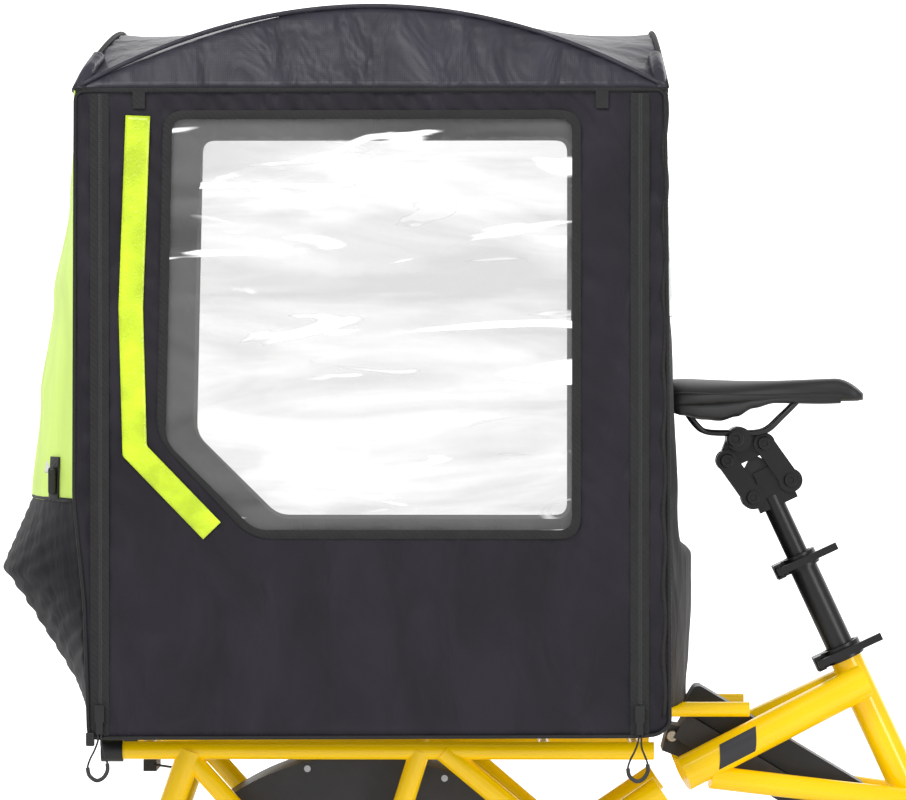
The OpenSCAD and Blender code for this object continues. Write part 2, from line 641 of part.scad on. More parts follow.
module handlebar() color("#222225") placed() {
    bar(bar_c - [0, 92, 0], bar_c + [0, 92, 0], 12);
    both_sides() {
        bar(bar_c + [0, 88, 0], grip_b + 4 * grip_v, 11.2);
        bar(grip_b, grip_e, 11.2);
        bar(grip_e - 128 * grip_v, grip_e, 16);
        bar(grip_b + 6 * grip_v, grip_b + 26 * grip_v, 15);
        difference() {
            union() {
                bar(grip_b + 14 * grip_v, lever_p + [-16, -6, 0], 8);
                translate(lever_p - [0, 0, 12]) cylinder(h = 24, r = 9);
                translate(lever_p + [-20, -12, -10]) cube([16, 18, 20]);
            }
            translate(lever_p - [0, 0, 6.4]) cylinder(h = 12.8, r = 16);
        }
        translate(lever_p - [0, 0, 11]) cylinder(h = 22, r = 3);
    }
}
module brake_lever() difference() {
    union() {
        translate(lever_p - [0, 0, 6]) cylinder(h = 12, r = 8);
        bar(lever_p + [0, 4, 0], lever_p + 104 * grip_v, 4.6);
    }
    translate(lever_p - [0, 0, 8]) cylinder(h = 16, r = 3 + run_gap);
}
module brake_lever_right() color("#1e1e20") placed() mirror([0, 1, 0]) brake_lever();
module brake_lever_left() color("#1e1e20") placed() brake_lever();

// ---------- seat ----------

collar_h = 18;
// Clamp ring round a tube of radius r, centred at s, with the fork that holds its lever
module collar(s, r) {
    along_seat(s - collar_h / 2) difference() {
        union() {
            cylinder(h = collar_h, r = r + 5);
            translate([-r - 18, -11, 0]) cube([22, 22, collar_h]);
        }
        translate([0, 0, -1]) cylinder(h = collar_h + 2, r = r);
        translate([-r - 19, -1, -1]) cube([22, 2, collar_h + 2]);
    }
    along_seat(s) {
        for (z = [-9, 6.3]) translate([-r - 17, -23, z]) cube([10, 13, 2.7]);
        translate([-r - 12, -17, -8]) cylinder(h = 16, r = 2.5);
    }
}
module collar_lever(s, r) along_seat(s) {
    difference() {
        union() {
            translate([-r - 12, -17, -6]) cylinder(h = 12, r = 5.5);
            translate([-r - 12, -r - 12.5, -4.5]) cube([2 * r + 42, 5, 9]);
            translate([-r - 15, -r - 12, -4.5]) cube([6, r - 4, 9]);
        }
        translate([-r - 12, -17, -8]) cylinder(h = 16, r = 2.5 + run_gap);
    }
}
lower_s = -5;
upper_s = lower_post_up - 7;
module seat_collar() color("#19191b") placed() collar(lower_s, seat_tube_r);
module collar_lever_lower() color("#19191b") placed() collar_lever(lower_s, seat_tube_r);
module collar_lever_upper() color("#19191b") placed() collar_lever(upper_s, lower_post_r);
module lower_post() color("#1c1c1e") placed() {
    difference() {
        bar(seat(-150), seat(lower_post_up), lower_post_r);
        bar(seat(-110), seat(lower_post_up + 1), upper_post_r + run_gap);
    }
    collar(upper_s, lower_post_r);
}

// Pivots of the sprung seat head, as [s, n] up and across the seat tube's line
head_s = lower_post_up + upper_post_up + 20;
P_LOW_REAR = [head_s, -20];
P_LOW_FRONT = [head_s, 30];
LINK = [54, -10];
P_TOP_REAR = P_LOW_REAR + LINK;
P_TOP_FRONT = P_LOW_FRONT + LINK;
clamp_at = [head_s + 72, -6];
head_half = 12;
pin_r = 4;
open_gap = 0.6;                              // clearance at the linkage's open pivot

// A flat shape drawn as [n, s] across and up the seat tube's line, from y0 to y1
module head_slab(y0, y1) along_seat(0) translate([0, y1, 0]) rotate([90, 0,
    0]) linear_extrude(y1 - y0) children();
module spot(p, r) translate([p[1], p[0]]) circle(r = r);

module upper_post() color("#1c1c1e") placed() difference() {
    union() {
        bar(seat(lower_post_up - 90), seat(head_s - 8), upper_post_r);
        head_slab(-head_half, head_half) {
            spot(P_LOW_REAR, 13);
            spot(P_LOW_FRONT, 13);
            translate([-20, head_s - 22]) square([50, 35]);
            translate([-8, head_s]) square([26, 26]);
        }
    }
    for (p = [P_LOW_REAR, P_LOW_FRONT]) head_slab(-14, 14) spot(p, pin_r + run_gap);
}
link_in = head_half + body_gap;
module link(low) {
    both_sides() head_slab(link_in, link_in + 5) {
        spot(low, 14.5);
        spot(low + LINK, 13);
        translate([low[1], low[0]]) rotate(atan2(-LINK[1], LINK[0])) translate([-12, 0]) square([24,
            norm(LINK)]);
    }
    for (p = [low, low + LINK]) head_slab(-link_in - 1, link_in + 1) spot(p, pin_r);
}
module link_rear() color("#1e1e20") placed() link(P_LOW_REAR);
module link_front() color("#1e1e20") placed() link(P_LOW_FRONT);
clamp_half = 28;
module seat_head() color("#1b1b1d") placed() difference() {
    union() {
        head_slab(-head_half, head_half) {
            spot(P_TOP_REAR, 12);
            spot(P_TOP_FRONT, 12);
            polygon([[P_TOP_REAR[1], head_s + 43], [P_TOP_FRONT[1], head_s + 43], [P_TOP_FRONT[1] + 4,
                head_s + 62],
                [clamp_at[1] + 8, clamp_at[0] + 12], [clamp_at[1] - 12, clamp_at[0] + 8],
                    [P_TOP_REAR[1] - 6, head_s + 62]]);
        }
        head_slab(-clamp_half, clamp_half) spot(clamp_at, 15);
    }
    head_slab(-14, 14) spot(P_TOP_REAR, pin_r + run_gap);
    head_slab(-14, 14) spot(P_TOP_FRONT, pin_r + open_gap);
    both_sides() bar(clamp_pt - [60, -rail_gauge, 0], clamp_pt + [60, rail_gauge, 0], 3.6);
}

// Saddle shell over its two rails
rail_gauge = 22;
clamp_pt = seat(clamp_at[0] + 8, clamp_at[1]);
saddle_nose = clamp_pt[0] + 147;
saddle_top = clamp_pt[2] + 68;
saddle_rows = 23;
saddle_cols = 13;
function saddle_half(t) = 17 + (saddle_w / 2 - 17) * pow((1 - cos(180 * pow(t, 1.35))) / 2,
    1.15) * (t > 0.9 ? sqrt(1 - pow((t - 0.9) * 8, 2)) : 1);
function saddle_end(t) = t < 0.06 ? sqrt(1 - pow(1 - t / 0.06, 2)) * 0.9 + 0.1 : 1;
function saddle_crown(t) = 3 * cos(360 * t) - 14 * pow(1 - t, 6);
// Depth of the saddle's underside below its top, along its length
function saddle_depth(t) = lookup(t, [[0, 27], [0.2, 33], [0.42, 32], [0.52, 38], [0.6, 49], [0.67, 54],
    [0.74, 52], [0.84, 46], [1, 24]]);
function saddle_pt(i, j, drop) = let (t = i / (saddle_rows - 1), v = 2 * j / (saddle_cols - 1) - 1)
    [saddle_nose - t * saddle_l, v * saddle_half(t) * saddle_end(t),
        saddle_top - 3 + (drop == 1 ? 3 - saddle_depth(t) : saddle_crown(t) - 14 * pow(v, 4))];
function saddle_grid(drop) = [for (i = [saddle_rows - 1 : -1 : 0],
    j = [0 : saddle_cols - 1]) saddle_pt(i, j, drop)];
module saddle() color("#242426") placed() {
    sheet_between(saddle_grid(1), saddle_grid(0), saddle_rows, saddle_cols);
    both_sides() {
        bar(clamp_pt - [34, -rail_gauge, 0], clamp_pt + [34, rail_gauge, 0], 3.5);
        bar(clamp_pt + [34, rail_gauge, 0], clamp_pt + [80, 12, 46], 3.5);
        bar(clamp_pt - [34, -rail_gauge, 0], clamp_pt + [-62, 30, 30], 3.5);
        for (x = [-34, 34]) translate(clamp_pt + [x, rail_gauge, 0]) sphere(r = 4.3);
    }
}

head_tube();
down_tube();
seat_tube();
side_beams();
rear_stays();
rack_rails();
tail_struts();
mid_struts();
tail_bumper();
deck_board();
rail_end_caps();
rear_light();
motor();
battery();
battery_dock();
rear_mudguard();
side_guards();
guard_screws();
rear_caliper();
seat_collar();
cabin_poles();
side_panel_right();
side_panel_left();
roof();
rear_panel();
rear_pouch();
front_panel();
window_films();
slider_right_rear();
slider_right_front();
slider_left_rear();
slider_left_front();
pull_right_rear();
pull_right_front();
pull_left_rear();
pull_left_front();
rear_tyre();
rear_wheel();
front_tyre();
front_wheel();
sprocket();
cranks();
chain();
pedal_right();
pedal_left();
centre_stand();
fork_crown();
fork_legs();
handlepost();
handlebar();
brake_lever_right();
brake_lever_left();
collar_lever_lower();
collar_lever_upper();
lower_post();
upper_post();
link_rear();
link_front();
seat_head();
saddle();
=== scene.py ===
"""Looks for the longtail cargo bicycle: fabric cabin, seat, frame finishes, stage and camera.

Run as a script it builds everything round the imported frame. It is laid out as an add-on, so each
group of pieces is one operator with its own settings.
"""

import json
import math

import bmesh
import bpy
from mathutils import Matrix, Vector, noise


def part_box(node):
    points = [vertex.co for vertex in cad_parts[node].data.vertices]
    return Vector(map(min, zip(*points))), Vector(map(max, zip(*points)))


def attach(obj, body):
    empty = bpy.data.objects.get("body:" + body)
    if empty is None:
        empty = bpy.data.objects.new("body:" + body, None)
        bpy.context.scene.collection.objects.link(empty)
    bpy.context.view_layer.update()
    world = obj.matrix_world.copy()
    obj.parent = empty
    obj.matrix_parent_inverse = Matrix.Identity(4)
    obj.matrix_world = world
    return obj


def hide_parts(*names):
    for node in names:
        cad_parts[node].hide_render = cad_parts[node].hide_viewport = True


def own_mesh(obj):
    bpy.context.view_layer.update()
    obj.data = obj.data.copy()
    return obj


bl_info = {
    "name": "Cargo bicycle looks",
    "version": (1, 0, 0),
    "blender": (4, 5, 0),
    "location": "View3D > Sidebar > Bicycle",
    "description": "Builds the fabric, seat and finishes of the cargo bicycle",
    "category": "Object",
}

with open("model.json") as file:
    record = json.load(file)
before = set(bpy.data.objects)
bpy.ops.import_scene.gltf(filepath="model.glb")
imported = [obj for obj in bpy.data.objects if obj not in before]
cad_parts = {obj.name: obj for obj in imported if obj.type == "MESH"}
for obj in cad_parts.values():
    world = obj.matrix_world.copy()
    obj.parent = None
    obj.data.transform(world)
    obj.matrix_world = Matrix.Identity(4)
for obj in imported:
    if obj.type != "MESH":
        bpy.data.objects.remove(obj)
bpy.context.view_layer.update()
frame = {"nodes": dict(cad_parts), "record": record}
FRAME_BODY = "frame_and_cabin"
MM = 0.001

# Places worked out from the frame
PANEL_LO, PANEL_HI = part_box("side_panel_right")
OUT_Y = abs(PANEL_LO[1])                     # outer face of the side panels
HEM_Z, SEAM_Z = PANEL_LO[2] - MM, PANEL_HI[2] - MM
AXLE_X = (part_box("rear_wheel")[0][0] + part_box("rear_wheel")[1][0]) / 2
FRONT_X = AXLE_X + 0.362                     # front edge of the cabin at its seam
REAR_X = AXLE_X - 0.326                      # rear edge of the cabin at its seam
POUCH_TIP_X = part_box("rear_pouch")[0][0]


# ---------- materials ----------

def new_material(name, color, rough, metallic=0.0, coat=0.0, sheen=0.0, alpha=1.0):
    """A Principled material; returns it with its shader, its node tree and object coordinates."""
    mat = bpy.data.materials.new(name)
    mat.use_nodes = True
    tree = mat.node_tree
    shader = tree.nodes["Principled BSDF"]
    shader.inputs["Base Color"].default_value = (*color, 1)
    shader.inputs["Roughness"].default_value = rough
    shader.inputs["Metallic"].default_value = metallic
    shader.inputs["Coat Weight"].default_value = coat
    shader.inputs["Coat Roughness"].default_value = 0.06
    shader.inputs["Sheen Weight"].default_value = sheen
    shader.inputs["Alpha"].default_value = alpha
    coords = tree.nodes.new("ShaderNodeTexCoord").outputs["Object"]
    return mat, shader, tree, coords


def texture(tree, coords, kind, stretch=(1, 1, 1), **settings):
    """A procedural texture node on stretched object coordinates."""
    mapping = tree.nodes.new("ShaderNodeMapping")
    mapping.inputs["Scale"].default_value = stretch
    tree.links.new(coords, mapping.inputs["Vector"])
    node = tree.nodes.new("ShaderNodeTex" + kind)
    tree.links.new(mapping.outputs["Vector"], node.inputs["Vector"])
    for key, value in settings.items():
        if key in node.inputs:
            node.inputs[key].default_value = value
        else:
            setattr(node, key, value)
    return node


def mix_color(tree, fac, low, high, start=0.35, end=0.65):
    """A colour that runs from low to high as fac goes from start to end."""
    ramp = tree.nodes.new("ShaderNodeValToRGB")
    ramp.color_ramp.elements[0].position = start
    ramp.color_ramp.elements[1].position = end
    ramp.color_ramp.elements[0].color = (*low, 1)
    ramp.color_ramp.elements[1].color = (*high, 1)
    tree.links.new(fac, ramp.inputs["Fac"])
    return ramp.outputs["Color"]


def map_range(tree, value, low, high, start=0.0, end=1.0):
    """A value that runs from low to high as another goes from start to end."""
    node = tree.nodes.new("ShaderNodeMapRange")
    node.inputs["From Min"].default_value = start
    node.inputs["From Max"].default_value = end
    node.inputs["To Min"].default_value = low
    node.inputs["To Max"].default_value = high
    tree.links.new(value, node.inputs["Value"])
    return node.outputs["Result"]


def rough_range(tree, fac, shader, low, high):
    """Roughness that follows a texture between low and high."""
    tree.links.new(map_range(tree, fac, low, high), shader.inputs["Roughness"])


def add_math(tree, first, second):
    """The sum of two values, kept between 0 and 1."""
    node = tree.nodes.new("ShaderNodeMath")
    node.operation = "ADD"
    node.use_clamp = True
    tree.links.new(first, node.inputs[0])
    tree.links.new(second, node.inputs[1])
    return node.outputs[0]


def add_bump(tree, shader, layers):
    """Chains bumps from (height output, strength, depth in metres)."""
    normal = None
    for height, strength, depth in layers:
        bump = tree.nodes.new("ShaderNodeBump")
        bump.inputs["Strength"].default_value = strength
        bump.inputs["Distance"].default_value = depth
        tree.links.new(height, bump.inputs["Height"])
        if normal is not None:
            tree.links.new(normal, bump.inputs["Normal"])
        normal = bump.outputs["Normal"]
    tree.links.new(normal, shader.inputs["Normal"])


def shade(color, k):
    """A colour made k times as bright."""
    return tuple(min(1.0, c * k) for c in color)


def paint(name, color, rough=0.28, coat=0.7):
    """Glossy paint with a faint orange peel and slight unevenness, glowing faintly in its own colour as
    painted light that lifts its shade.
    """
    mat, shader, tree, coords = new_material(name, color, rough, coat=coat)
    # Painted light: a faint glow in the paint's own colour lifts its shaded side, as if light bounced up from
    # below.
    shader.inputs["Emission Color"].default_value = (*color, 1)
    shader.inputs["Emission Strength"].default_value = 0.16
    shader.inputs["Specular IOR Level"].default_value = 0.3
    cloud = texture(tree, coords, "Noise", Scale=9, Detail=4)
    tree.links.new(mix_color(tree, cloud.outputs["Fac"], shade(color, 0.93), color),
                   shader.inputs["Base Color"])
    rough_range(tree, cloud.outputs["Fac"], shader, rough * 0.8, rough * 1.25)
    peel = texture(tree, coords, "Noise", Scale=420, Detail=2)
    add_bump(tree, shader, [(peel.outputs["Fac"], 0.08, 0.0004)])
    return mat


def satin(name, color, rough=0.42, metallic=0.0, grain=900.0):
    """Satin black metal or moulded plastic with fine grain, scuffed lighter in places."""
    mat, shader, tree, coords = new_material(name, color, rough, metallic=metallic)
    cloud = texture(tree, coords, "Noise", Scale=14, Detail=6, Roughness=0.7)
    tree.links.new(mix_color(tree, cloud.outputs["Fac"], color, shade(color, 1.5), 0.45, 0.8),
                   shader.inputs["Base Color"])
    rough_range(tree, cloud.outputs["Fac"], shader, rough * 0.85, rough * 1.2)
    fine = texture(tree, coords, "Noise", Scale=grain, Detail=2)
    add_bump(tree, shader, [(fine.outputs["Fac"], 0.25, 0.0003)])
    return mat


def brushed(name, color, rough=0.3):
    """Brushed or machined bare metal."""
    mat, shader, tree, coords = new_material(name, color, rough, metallic=1.0)
    lines = texture(tree, coords, "Noise", stretch=(1, 1, 30), Scale=60, Detail=5)
    tree.links.new(mix_color(tree, lines.outputs["Fac"], shade(color, 0.75), color),
                   shader.inputs["Base Color"])
    rough_range(tree, lines.outputs["Fac"], shader, rough * 0.7, rough * 1.4)
    add_bump(tree, shader, [(lines.outputs["Fac"], 0.15, 0.0002)])
    return mat


def cloth(name, color, rough=0.6, sheen=0.02, thread=0.0011, depth=0.00010, alpha=1.0, crease=0.5, gloss=0.22,
          fold_depth=0.006, fold_shading=0.2):
    """Woven coated cloth: crossed threads and broad creases, with painted shade and highlight following the
    creases.
    """
    mat, shader, tree, coords = new_material(name, color, rough, sheen=sheen, alpha=alpha)
    shader.inputs["Sheen Roughness"].default_value = 0.5
    shader.inputs["Specular IOR Level"].default_value = gloss
    scale = 1 / thread / (2 * math.pi)
    warp = texture(tree, coords, "Wave", Scale=scale, bands_direction="X")
    weft = texture(tree, coords, "Wave", Scale=scale, bands_direction="Z")
    threads = tree.nodes.new("ShaderNodeMath")
    threads.operation = "ADD"
    tree.links.new(warp.outputs["Fac"], threads.inputs[0])
    tree.links.new(weft.outputs["Fac"], threads.inputs[1])
    cloud = texture(tree, coords, "Noise", Scale=7, Detail=5, Roughness=0.6)
    rough_range(tree, cloud.outputs["Fac"], shader, rough * 0.85, rough * 1.15)
    folds = texture(tree, coords, "Noise", stretch=(1, 1, 0.45), Scale=16, Detail=3, Distortion=0.6)
    # Painted shade and highlight: the colour darkens and lightens with the same crease noise that bends the
    # normals, so the creases look shaded and lit.
    tree.links.new(mix_color(tree, folds.outputs["Fac"], shade(color, 1 - fold_shading), shade(color, 1 + fold_shading)),
                   shader.inputs["Base Color"])
    add_bump(tree, shader, [(folds.outputs["Fac"], crease, fold_depth), (threads.outputs[0], 0.35, depth)])
    return mat


def webbing(name, color):
    """Ribbed webbing and binding tape."""
    mat, shader, tree, coords = new_material(name, color, 0.7, sheen=0.03)
    ribs = texture(tree, coords, "Wave", Scale=90, bands_direction="DIAGONAL")
    cloud = texture(tree, coords, "Noise", Scale=60, Detail=3)
    tree.links.new(mix_color(tree, cloud.outputs["Fac"], shade(color, 0.8), shade(color, 1.25)),
                   shader.inputs["Base Color"])
    add_bump(tree, shader, [(ribs.outputs["Fac"], 0.5, 0.0005)])
    return mat


def film(name, color, alpha):
    """Clear soft film with ripples and streaks of haze, glowing faintly white, with painted glints of
    reflected light along narrow bands.
    """
    mat, shader, tree, coords = new_material(name, color, 0.07, alpha=alpha)
    # Painted light: the film glows faintly white everywhere, and strongly along the glint bands below.
    shader.inputs["Emission Color"].default_value = (1, 1, 1, 1)
    shader.inputs["IOR"].default_value = 1.5
    ripple = texture(tree, coords, "Noise", stretch=(1, 1, 0.6), Scale=9, Detail=3)
    streak = texture(tree, coords, "Noise", stretch=(0.35, 1, 1.6), Scale=7, Detail=4, Distortion=1.2)
    # Haze streaks: the film is darker and cloudier in some bands and clearer in others, partly its own haze
    # and partly painted reflection bands.
    tree.links.new(mix_color(tree, streak.outputs["Fac"], shade(color, 0.72), color, 0.42, 0.62),
                   shader.inputs["Base Color"])
    haze = map_range(tree, streak.outputs["Fac"], alpha * 1.3, alpha * 0.6, 0.40, 0.66)
    # Painted highlights: narrow glint bands make the film more opaque and make it glow white, standing in for
    # reflections.
    band = texture(tree, coords, "Noise", stretch=(0.30, 1, 1.5), Scale=10, Detail=3, Distortion=1.6)
    painted_glint = map_range(tree, band.outputs["Fac"], 0.0, 0.55, 0.64, 0.68)
    tree.links.new(add_math(tree, haze, painted_glint), shader.inputs["Alpha"])
    tree.links.new(map_range(tree, painted_glint, 0.06, 1.2, 0.0, 0.5), shader.inputs["Emission Strength"])
    rough_range(tree, ripple.outputs["Fac"], shader, 0.04, 0.12)
    add_bump(tree, shader, [(ripple.outputs["Fac"], 0.6, 0.006)])
    return mat


def prismatic(name, color):
    """Reflective tape with a fine cell pattern and a faint painted glow in its own colour."""
    mat, shader, tree, coords = new_material(name, color, 0.35, coat=0.5)
    # Painted light: the tape glows faintly in its own colour.
    shader.inputs["Emission Color"].default_value = (*color, 1)
    shader.inputs["Emission Strength"].default_value = 0.06
    cells = texture(tree, coords, "Voronoi", Scale=190, feature="DISTANCE_TO_EDGE")
    patch = texture(tree, coords, "Noise", Scale=24, Detail=3)
    tree.links.new(mix_color(tree, patch.outputs["Fac"], shade(color, 0.66), shade(color, 0.96)),
                   shader.inputs["Base Color"])
    add_bump(tree, shader, [(cells.outputs["Distance"], 0.8, 0.0012)])
    return mat


def rubber(name, color, rough=0.75):
    """Matt rubber, dusty in places."""
    mat, shader, tree, coords = new_material(name, color, rough)
    dust = texture(tree, coords, "Noise", Scale=22, Detail=8, Roughness=0.7)
    tree.links.new(mix_color(tree, dust.outputs["Fac"], color, shade(color, 2.2), 0.5, 0.85),
                   shader.inputs["Base Color"])
    fine = texture(tree, coords, "Noise", Scale=600, Detail=2)
    add_bump(tree, shader, [(fine.outputs["Fac"], 0.35, 0.0004)])
    return mat


def grained(name, color, rough=0.45):
    """Fine grained saddle cover."""
    mat, shader, tree, coords = new_material(name, color, rough, sheen=0.02)
    cells = texture(tree, coords, "Voronoi", Scale=650)
    cloud = texture(tree, coords, "Noise", Scale=18, Detail=4)
    tree.links.new(mix_color(tree, cloud.outputs["Fac"], shade(color, 0.8), shade(color, 1.3)),
                   shader.inputs["Base Color"])
    rough_range(tree, cloud.outputs["Fac"], shader, rough * 0.85, rough * 1.2)
    add_bump(tree, shader, [(cells.outputs["Distance"], 0.3, 0.0003)])
    return mat


def color_setting(name, description, default):
    """A colour that a user can change."""
    return bpy.props.FloatVectorProperty(name=name, description=description, default=default,
                                         subtype="COLOR", size=3, min=0, max=1)


def length_setting(name, description, default):
    """A length that a user can change."""
    return bpy.props.FloatProperty(name=name, description=description, default=default, min=0,
                                   unit="LENGTH")


class ColorSettings(bpy.types.PropertyGroup):
    """Colours of the paint and the cloths."""
    frame: color_setting("Frame paint", "Gloss paint of the frame's tubes", (1.0, 0.63, 0.0))
    side: color_setting("Side cloth", "Cloth of the cabin's sides", (0.0185, 0.0165, 0.0230))
    roof: color_setting("Roof cloth", "Satin cloth of the cabin's roof", (0.030, 0.0275, 0.040))
    rear: color_setting("Rear cloth", "Cloth of the cabin's bright rear panel", (0.70, 0.94, 0.20))
    tape: color_setting("Reflective tape", "Tape along the side windows", (0.75, 1.0, 0.02))


MATS = {}


def make_materials(colors):
    """Makes every material of the bicycle, by the finish that it stands for."""
    MATS.update(
        yellow=paint("yellow_paint", tuple(colors.frame), 0.24, 0.45),
        black=satin("black_satin", (0.008, 0.008, 0.009), 0.34),
        plastic=satin("black_plastic", (0.011, 0.011, 0.012), 0.45, grain=1400.0),
        grey_plastic=satin("grey_plastic", (0.028, 0.028, 0.032), 0.5, grain=1200.0),
        board=satin("deck_board", (0.04, 0.04, 0.042), 0.65, grain=500.0),
        side=cloth("side_cloth", tuple(colors.side), 0.55, 0.03, crease=0.9, fold_depth=0.012),
        roof=cloth("roof_cloth", tuple(colors.roof), 0.40, 0.03, crease=0.8, gloss=0.36, fold_depth=0.010),
        front=cloth("front_cloth", (0.010, 0.009, 0.0115), 0.65, 0.02, crease=0.8, gloss=0.16),
        pouch=cloth("pouch_cloth", (0.013, 0.012, 0.0155), 0.65, 0.02, crease=0.9, gloss=0.18),
        green=cloth("green_cloth", tuple(colors.rear), 0.6, 0.03, crease=0.45, fold_shading=0.06),
        grey_tape=prismatic("grey_reflective_tape", (0.48, 0.50, 0.47)),
        tape=prismatic("yellow_reflective_tape", tuple(colors.tape)),
        binding=webbing("black_binding", (0.008, 0.008, 0.009)),
        strap=webbing("strap_webbing", (0.010, 0.010, 0.011)),
        cord=webbing("braided_cord", (0.020, 0.020, 0.022)),
        film=film("clear_film", (0.40, 0.40, 0.405), 0.34),
        tyre=rubber("tyre_rubber", (0.022, 0.022, 0.022)),
        grip=rubber("grip_rubber", (0.03, 0.03, 0.03), 0.65),
        wheel=satin("black_anodised", (0.03, 0.03, 0.032), 0.35, metallic=0.6),
        steel=brushed("brushed_steel", (0.55, 0.55, 0.56)),
        dark_steel=brushed("oiled_chain", (0.22, 0.22, 0.22), 0.4),
        bronze=brushed("bronze_silver_bolt", (0.62, 0.54, 0.42), 0.3),
        saddle=grained("saddle_cover", (0.012, 0.012, 0.0135)),
        lens=paint("lamp_lens", (0.30, 0.01, 0.015), 0.12, 1.0),
    )


# ---------- mesh helpers ----------

def add_object(name, verts, faces, mat, body=FRAME_BODY, smooth=True):
    """A mesh object in the row frame that rides on a body."""
    mesh = bpy.data.meshes.new(name)
    mesh.from_pydata([tuple(v) for v in verts], [], faces)
    mesh.update()
    obj = bpy.data.objects.new(name, mesh)
    bpy.context.scene.collection.objects.link(obj)
    obj.data.materials.append(MATS[mat])
    for poly in mesh.polygons:
        poly.use_smooth = smooth
    if body:
        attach(obj, body)
    return obj


def grid(name, point, nu, nv, mat, body=FRAME_BODY, thick=0.0, wrap=False):
    """A sheet of nu by nv points from point(u, v), with u and v from 0 to 1."""
    verts = [point(i / (nu - 1), j / (nv - 1)) for i in range(nu) for j in range(nv)]
    faces = [(i * nv + j, (i + 1) * nv + j, (i + 1) * nv + j + 1, i * nv + j + 1)
             for i in range(nu - 1) for j in range(nv - 1)]
    if wrap:
        faces += [((nu - 1) * nv + j, j, j + 1, (nu - 1) * nv + j + 1) for j in range(nv - 1)]
    obj = add_object(name, verts, faces, mat, body)
    if thick:
        solid = obj.modifiers.new("Thickness", "SOLIDIFY")
        solid.thickness = thick
        solid.offset = -1
    return obj


def smooth_path(points, steps=6):
    """Points on a smooth curve through the given ones."""
    pts = [Vector(p) for p in points]
    out = []
    for i in range(len(pts) - 1):
        a, b = pts[max(i - 1, 0)], pts[i]
        c, d = pts[i + 1], pts[min(i + 2, len(pts) - 1)]
        for k in range(steps):
            t = k / steps
            out.append(0.5 * (2 * b + (c - a) * t + (2 * a - 5 * b + 4 * c - d) * t * t
                              + (3 * b - a - 3 * c + d) * t ** 3))
    return out + [pts[-1]]


def tube(name, points, radius, mat, body=FRAME_BODY, closed=False, sides=10, flat=1.0, up=Vector((0, 1, 0))):
    """A round or flattened tube along a path; flat scales its height along up."""
    pts = [Vector(p) for p in points]
    n = len(pts)
    verts = []
    for i, p in enumerate(pts):
        ahead = pts[(i + 1) % n] if closed else pts[min(i + 1, n - 1)]
        behind = pts[i - 1] if closed else pts[max(i - 1, 0)]
        along = (ahead - behind).normalized()
        side = along.cross(up)
        side = side.normalized() if side.length > 1e-6 else Vector((1, 0, 0))
        top = side.cross(along)
        for k in range(sides):
            a = 2 * math.pi * k / sides
            verts.append(p + radius * (math.cos(a) * side + flat * math.sin(a) * top))
    last = n if closed else n - 1
    faces = [(i * sides + k, i * sides + (k + 1) % sides, (i + 1) % n * sides + (k + 1) % sides,
              (i + 1) % n * sides + k) for i in range(last) for k in range(sides)]
    if not closed:
        faces += [tuple(range(sides - 1, -1, -1)), tuple((n - 1) * sides + k for k in range(sides))]
    return add_object(name, verts, faces, mat, body)


def rounded(points, radius, steps=6):
    """A closed outline of (a, b) pairs with its corners rounded."""
    out = []
    n = len(points)
    for i, p in enumerate(points):
        p = Vector(p)
        before, after = Vector(points[i - 1]), Vector(points[(i + 1) % n])
        r = min(radius, (before - p).length * 0.4, (after - p).length * 0.4)
        a, b = p + (before - p).normalized() * r, p + (after - p).normalized() * r
        for k in range(steps + 1):
            t = k / steps
            out.append((1 - t) ** 2 * a + 2 * t * (1 - t) * p + t * t * b)
    return out


def rays(points, n, mid):
    """The n points where evenly turned rays from mid cross a closed outline."""
    pts = [Vector(p) - mid for p in points]
    angles = sorted((math.atan2(p[1], p[0]) % (2 * math.pi), p) for p in pts)
    out, j = [], 0
    first, last = angles[0], angles[-1]
    angles = [(last[0] - 2 * math.pi, last[1]), *angles, (first[0] + 2 * math.pi, first[1])]
    for i in range(n):
        a = 2 * math.pi * i / n
        while angles[j + 1][0] < a:
            j += 1
        p, q = angles[j][1], angles[j + 1][1]
        ray = Vector((math.cos(a), math.sin(a)))
        edge = q - p
        cross = ray[0] * edge[1] - ray[1] * edge[0]
        reach = (p[0] * edge[1] - p[1] * edge[0]) / cross if abs(cross) > 1e-12 else p.length
        out.append(mid + ray * reach)
    return out


def wobble(x, y, z, scale):
    """Smooth noise about zero at a place."""
    return noise.noise(Vector((x * scale, y * scale, z * scale)))


def box(name, lo, hi, mat, body=FRAME_BODY, bevel=0.0015):
    """A moulded block between two corners, with rounded edges."""
    verts = [(x, y, z) for x in (lo[0], hi[0]) for y in (lo[1], hi[1]) for z in (lo[2], hi[2])]
    faces = [(0, 1, 3, 2), (4, 6, 7, 5), (0, 4, 5, 1), (2, 3, 7, 6), (0, 2, 6, 4), (1, 5, 7, 3)]
    obj = add_object(name, verts, faces, mat, body, smooth=False)
    mod = obj.modifiers.new("Edges", "BEVEL")
    mod.width = bevel
    mod.segments = 3
    return obj


# ---------- cabin cloth ----------

class CabinSettings(bpy.types.PropertyGroup):
    """Sizes of the cabin's cloth details."""
    cloth_t: length_setting("Cloth thickness", "Thickness of the coated cloth with its lining", 0.0022)
    binding_w: length_setting("Window binding width", "Width of the binding round a window", 0.0095)
    tape_w: length_setting("Reflective tape width", "Width of the tape beside a window", 0.0285)


